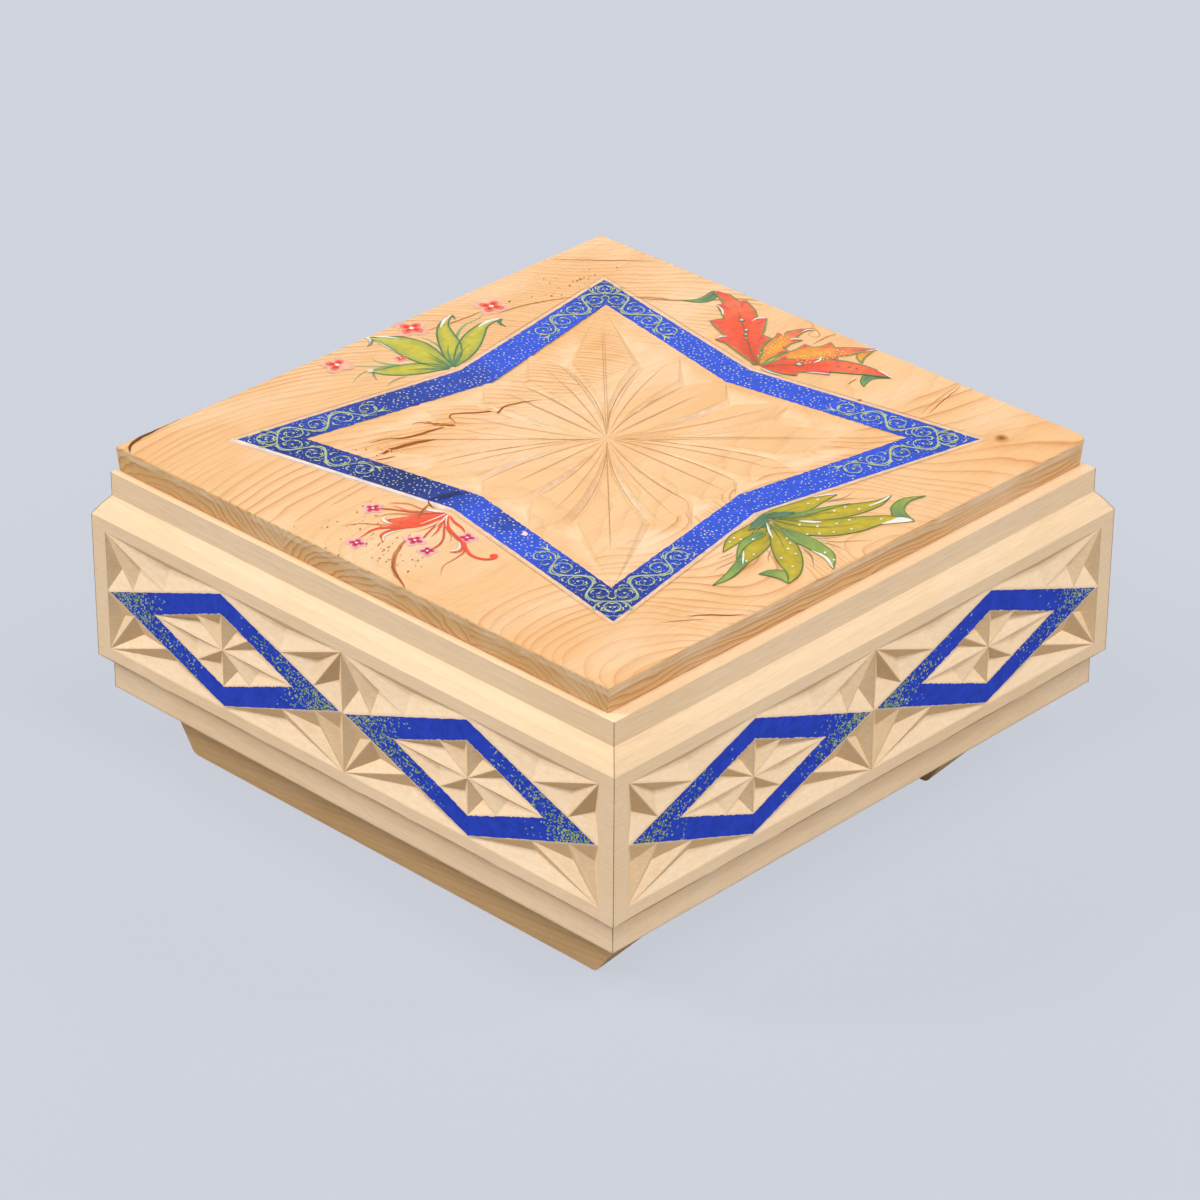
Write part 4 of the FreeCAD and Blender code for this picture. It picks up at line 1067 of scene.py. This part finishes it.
def fleck_star(painting, rng):
    """Small slanting flecks over the whole band, finer among the scrolls, and two marks of wear."""
    placed = []
    for i in range(8):
        outer_a, outer_b = STAR_OUTER[i], STAR_OUTER[(i + 1) % 8]
        inner_a, inner_b = STAR_INNER[i], STAR_INNER[(i + 1) % 8]
        for _ in range(FLECK_TRIES):
            share = rng.random()
            outer, inner = mixed(outer_a, outer_b, share), mixed(inner_a, inner_b, share)
            u, v = mixed(outer, inner, rng.uniform(0.05, 0.95))
            if any(abs(u - a) + abs(v - b) < FLECK_GAP for a, b in placed[-300:]):
                continue
            placed.append((u, v))
            from_tip = share if i % 2 == 0 else 1.0 - share
            radius = rng.uniform(0.16, 0.28) if from_tip < 0.5 else rng.uniform(0.24, 0.42)
            painting.dot(u + STAR_MIDDLE_MM[0], v + STAR_MIDDLE_MM[1], radius, 2,
                         mixed(SCROLL, SPECK, rng.random()), rng.uniform(1.0, 1.8), rng.gauss(0.8, 0.8), 6)
    painting.strokes(SMEARS, 3, SMEAR)
    painting.polygon(pairs(CHIP), 3, CHALK)


# Cracks, resin, knots and pencil lines in the lid

def carved_lid():
    """A lay function that drops marks onto the carved lid."""
    points, faces = [], []
    for board in ("lid_board_front", "lid_board_middle", "lid_board_back"):
        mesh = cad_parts[board].data
        first = len(points)
        points += [vertex.co.copy() for vertex in mesh.vertices]
        faces += [[first + index for index in face.vertices] for face in mesh.polygons]
    surface = BVHTree.FromPolygons(points, faces)

    def lay(u, v, lift):
        start = Vector((u * MM, v * MM, (LID_TOP_MM + 5.0) * MM))
        spot = surface.ray_cast(start, Vector((0, 0, -1)))[0]
        height = spot.z if spot else LID_TOP_MM * MM
        return (u * MM, v * MM, height + lift * MM)
    return lay


RESIN = on_top(170, 92, 44)
RESIN_PALE = on_top(208, 138, 84)
DARK_CRACK = on_top(120, 72, 36)
PENCIL = on_top(176, 138, 112)

CRACKS = [
    (1.7, RESIN, -57.6, 67.3, -51.5, 62.8, -42, 60.6, -33.2, 59.1),
    (2.3, RESIN, -68, 62.4, -63.7, 60.3, -54.5, 57.9, -44.5, 53.2), (0.9, RESIN, -74.9, 57.9, -64.7, 56.3),
    (0.8, RESIN_PALE, -66, 70.4, -60.4, 68.6, -56, 67), (1.1, RESIN, -34, 70, -31.6, 64, -28.6, 58),
    (1.0, RESIN_PALE, -40.5, 71.2, -36.2, 70.6, -28.3, 58.5),
    (1.1, RESIN, -28.3, 58.5, -24.6, 64.6, -11.9, 56, -0.9, 53.6, 11.1, 47.6),
    (1.9, RESIN_PALE, -141, -28, -138.4, -23, -135, -16, -131, -11, -126, -6.6, -121, -3.6, -115, -0.6, -109,
     2),
    (0.8, RESIN, -140.6, -28, -138, -22.4, -134.6, -15.6, -130.6, -10.6, -125, -6),
    (1.1, RESIN_PALE, 109.5, 88.9, 113, 81, 116.6, 76.7, 127.8, 64.5, 139, 55.4, 145, 46.6),
    (0.7, RESIN_PALE, 110, 87, 116, 80, 119.4, 74, 127, 66.4),
    (0.9, RESIN_PALE, 55.7, 118.7, 69.9, 116.3, 82.1, 111.2, 91.2, 106.8),
    (0.9, RESIN_PALE, 23.2, 128.9, 33.4, 126.5, 52.7, 124.8),
    (0.6, RESIN_PALE, 111.5, 141, 118.6, 132.6, 130, 120, 143, 106),
    (1.8, DARK_CRACK, -141, 134.4, -137, 138.4, -131, 140.8, -118, 142),
    (1.0, RESIN_PALE, -134, 140, -122, 141.6, -106, 142.2), (0.7, RESIN_PALE, 130, 1, 136, 1.6, 145, 0.8),
    (0.4, RESIN, 114.6, -76.6, 130, -73, 144, -70), (0.3, RESIN_PALE, 112, -74.4, 128, -71, 144, -68.2),
    (0.9, RESIN, -80.3, -121.3, -74.2, -126.4, -64, -136.5), (0.9, RESIN, -87, 10.4, -86.4, 14, -84, 17.6),
    (0.5, RESIN_PALE, -91, -118, -84, -122.4, -77, -128)
]
KNOTS = [(119.7, -112.5, 2.4), (104.4, -48, 0.9)]
# Fine holes: middle of a patch, its spread along U and V, and how many.
WORM_HOLES = [(-124, 6, 8, 14, 70), (-108, 20, 5, 6, 16), (104, 118, 12, 5, 30), (-70, 66, 6, 5, 14)]


def mark_lid(marks, rng):
    for width, tone, *line in CRACKS:
        wavy = [(u + rng.uniform(-0.25, 0.25), v + rng.uniform(-0.25, 0.25))
                for u, v in smooth(pairs(line), 2.5)]
        marks.stroke(wavy, width, 2, tone)
    for u, v, radius in KNOTS:
        marks.dot(u, v, radius * 1.2, 2, on_top(232, 172, 112), 1.15, 0.3, 14)
        marks.dot(u, v, radius * 0.85, 3, on_top(196, 128, 74), 1.1, 0.3, 11)
        marks.dot(u, v, radius * 0.35, 4, on_top(158, 98, 56), 1.3, 0.9, 9)
    for u, v, spread_u, spread_v, count in WORM_HOLES:
        for _ in range(count):
            place = (rng.gauss(u, spread_u), rng.gauss(v, spread_v))
            radius = rng.uniform(0.15, 0.45)
            tone = RESIN if rng.random() < 0.4 else RESIN_PALE
            marks.dot(*place, radius, 2, tone, rng.uniform(1.0, 2.4), rng.uniform(0, 0.9), 6)
    edge_star(marks)
    score_rosette(marks, rng)


RIM = on_top(253, 216, 180)
# Colour of the knife lines on the crests and of the painted shade along the groove bottoms.
KNIFE_LINE_AND_GROOVE_SHADE = on_top(214, 160, 112)
DUST = on_top(252, 208, 164)

# The carved lines bow: degrees from the line to the nearest tip, at the middle and at their end, and
# how far they reach in millimetres.
GROOVES = [(0.0, 13.0, 72.0), (20.7, 33.0, 62.5)]
CRESTS = [(0.0, 0.0, 124.0), (12.0, 22.5, 80.0), (45.0, 45.0, 71.0)]


def edge_star(marks):
    """The pale rim that the masking left round the star, and pencil lines beyond it."""
    outline = [(u + STAR_MIDDLE_MM[0], v + STAR_MIDDLE_MM[1]) for u, v in STAR_OUTER]
    for i in range(8):
        left_arm = i == 7
        tone, width, out = (CHALK, 3.0, 1.019) if left_arm else (RIM, 1.3, 1.011)
        a, b = (mixed(STAR_MIDDLE_MM, corner, out) for corner in (outline[i], outline[(i + 1) % 8]))
        marks.stroke([a, mixed(a, b, 0.5), b], width, 1, tone, shape="none")
        a, b = (mixed(STAR_MIDDLE_MM, corner, 1.028) for corner in (outline[i], outline[(i + 1) % 8]))
        marks.stroke([mixed(a, b, share) for share in (-0.02, 0.5, 1.02)], 0.25, 2, PENCIL)


def rosette_line(angles, side, quarter, shares, aside=0.0):
    """Points along a groove or crest of the rosette, shifted aside by so many millimetres."""
    first, last, reach = angles
    line = []
    for share in shares:
        turn = math.radians(45 + 90 * quarter + side * (first + (last - first) * share))
        line.append((STAR_MIDDLE_MM[0] + reach * share * math.cos(turn) - aside * math.sin(turn),
                     STAR_MIDDLE_MM[1] + reach * share * math.sin(turn) + aside * math.cos(turn)))
    return line


def score_rosette(marks, rng):
    """Knife lines along the rosette's crests, thin dark lines of painted shade along the bottoms of its
    grooves, and the chalky dust beside them.
    """
    for quarter in range(4):
        for side in (-1, 1):
            for angles in GROOVES:
                # Painted shade: a thin dark line along the bottom of each groove.
                shares = [0.04 + 0.96 * k / 10 for k in range(11)]
                marks.stroke(rosette_line(angles, side, quarter, shares), rng.uniform(0.25, 0.4), 3, KNIFE_LINE_AND_GROOVE_SHADE)
                start = rng.uniform(0.25, 0.5)
                shares = [start + (0.98 - start) * k / 6 for k in range(7)]
                aside = rng.choice((-1.6, 1.6))
                marks.stroke(rosette_line(angles, side, quarter, shares, aside), rng.uniform(0.6, 1.3), 2,
                             mixed(DUST, CHALK, rng.uniform(0.1, 0.7)))
            for angles in CRESTS:
                shares = [0.05 + rng.uniform(0.6, 0.9) * k / 8 for k in range(9)]
                marks.stroke(rosette_line(angles, side, quarter, sorted(shares), rng.uniform(-0.8, 0.8)),
                             rng.uniform(0.2, 0.35), 2, KNIFE_LINE_AND_GROOVE_SHADE)


# Lines on the walls

WALL_LINE = srgb(176, 138, 98)


def line_wall(marks, rng):
    """The broken grey line along the foot of a wall's face: a seam line that also stands for the shade where
    the face steps back to the lower band.
    """
    u = -148.0
    while u < 140:
        end = min(u + rng.uniform(20, 60), 148.5)
        marks.stroke([(u, 45.5), ((u + end) / 2, 45.6), (end, 45.5)], rng.uniform(0.3, 0.6), 1, WALL_LINE)
        u = end + rng.uniform(1, 8)


# The walls' outline where the mitres show, from the foot up: distance from the middle and height.
MITRE = [(145.5, 29.0), (145.5, 45.2), (150.0, 45.2), (150.0, 112.7), (146.9, 117.3), (143.7, 121.1),
         (143.7, 131.9)]
MITRE_WIDTH = 0.24
MITRE_SHADE = srgb(134, 112, 84)


def draw_mitres():
    """Thin dark lines down the four corners of the case, where its walls meet."""
    lines = Painting(None)
    for across, deep in ((-1, -1), (-1, 1), (1, -1), (1, 1)):
        for wide_x, wide_y in ((MITRE_WIDTH, 0.0), (0.0, MITRE_WIDTH)):
            first = len(lines.points)
            for out, height in MITRE:
                corner = out + COAT_MM
                for x, y in ((corner, corner), (corner - wide_x, corner - wide_y)):
                    lines.points.append((across * x * MM, deep * y * MM, height * MM))
                lines.colours += [MITRE_SHADE, WALL_LINE]
            for low in range(first, len(lines.points) - 2, 2):
                lines.faces.append([low, low + 1, low + 3, low + 2])
    return lines


# Everything in the scene

bpy.context.scene.view_settings.view_transform = "Standard"
make_camera()
make_light()
make_floor()

LINDEN = (srgb(245, 213, 173), srgb(222, 182, 134), srgb(232, 192, 138))
FRESH = (srgb(254, 230, 196), srgb(248, 214, 172))
PINE = (srgb(225, 181, 130), srgb(190, 114, 46), srgb(216, 158, 96))
TAN = (srgb(228, 186, 130), srgb(190, 142, 88), srgb(212, 168, 112))

# The pith's way along each lid board: along, across and height in millimetres.
FRONT_PITH = [(-145, -172, 74), (-122, -172, 104), (-104, -172, 100), (-68, -176, 66), (-30, -180, 50),
              (10, -150, 104), (40, -150, 92), (66, -156, 60), (100, -160, 40), (150, -160, 30)]
MIDDLE_PITH = [(-145, -14, 74), (-112, -20, 100), (-80, -16, 84), (0, -12, 60), (80, -12, 50), (150, -6, 40)]
BACK_PITH = [(-145, 15, 60), (-70, 8, 66), (0, -22, 50), (60, -50, 0), (100, -62, -50), (150, -62, -90)]
SIDE_PITH = [(-150, -30, 60), (0, -60, 20), (150, -30, 50)]

# The lid's boards: pith, ring width and strength, size of the sway, middle of the rings in the sawn ends
# and resin stains.
BOARDS = {
    "front": (FRONT_PITH, 5.2, 1.0, 4.5, -84.0,
              [(-78, -124, 36, 18), (58, -73, 36, 10), (119, -112, 16, 14)]),
    "middle": (MIDDLE_PITH, 5.4, 0.26, 5.0, -20.0, []),
    "back": (BACK_PITH, 3.4, 0.85, 4.5, 110.0, [(-55, 60, 34, 16), (62, 66, 40, 26)]),
}
woods = {
    "bottom_panel": make_wood("panel_pine", TAN, [(-150, 0, -40), (150, 10, -60)], 4.0, 0.4),
    "runner_left": make_wood("runner_left", TAN, [(-150, -140, -20), (150, -130, -60)], 3.0, 0.5, "Y"),
    "runner_right": make_wood("runner_right", TAN, [(-150, 100, -30), (150, 120, -60)], 3.0, 0.5, "Y"),
}
for place, (pith, ring_width, strength, sway, sawn, spots) in BOARDS.items():
    woods["lid_board_" + place] = make_wood("pine_" + place, PINE, pith, ring_width, strength,
                                            wander=(0.012, 0.04, sway), sawn=sawn, spots=spots)
for side, grain in (("front", "X"), ("back", "X"), ("right", "Y"), ("left", "Y")):
    woods["wall_" + side] = make_wood("linden_" + side, LINDEN, SIDE_PITH, 2.6, 0.09, grain, facets=FRESH,
                                      mottle=0.3, streaks=0.34)
brass = make_brass()
for name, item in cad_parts.items():
    item.data.materials.clear()
    item.data.materials.append(woods.get(name, brass))

paint = make_paint_material("gouache", 0.55)
# The stain material holds the cracks, resin, knots and pencil lines, and also the thin lines of painted shade
# in the rosette's grooves and along the foot of each wall.
stain = make_paint_material("stain", 0.7)
star_paint = Painting(on_lid)
paint_star(star_paint, random.Random(3))
paint_scrolls(star_paint)
fleck_star(star_paint, random.Random(8))
star_paint.make("star_paint", "lid", paint)

sprig_paint = Painting(on_lid)
paint_back_sprig(sprig_paint)
paint_front_sprig(sprig_paint)
paint_right_sprig(sprig_paint, random.Random(4))
paint_left_sprig(sprig_paint)
sprig_paint.make("sprig_paint", "lid", paint)

lid_marks = Painting(carved_lid())
mark_lid(lid_marks, random.Random(12))
lid_marks.make("lid_cracks_and_lines", "lid", stain)

WALLS = [("front", 0, 250, 10.0, -1), ("right", 90, 250, 10.0, 1), ("back", 180, 250, 10.0, -1),
         ("left", 270, 380, 12.0, 1)]
for name, turn, count, reach, lean in WALLS:
    wall_paint = Painting(on_wall(turn))
    paint_diamonds(wall_paint, random.Random(turn + 5), count, reach, lean)
    wall_paint.make("diamond_paint_" + name, "case", paint)
    wall_marks = Painting(on_wall(turn))
    line_wall(wall_marks, random.Random(turn + 6))
    wall_marks.make("wall_lines_" + name, "case", stain)
draw_mitres().make("mitre_lines", "case", stain)
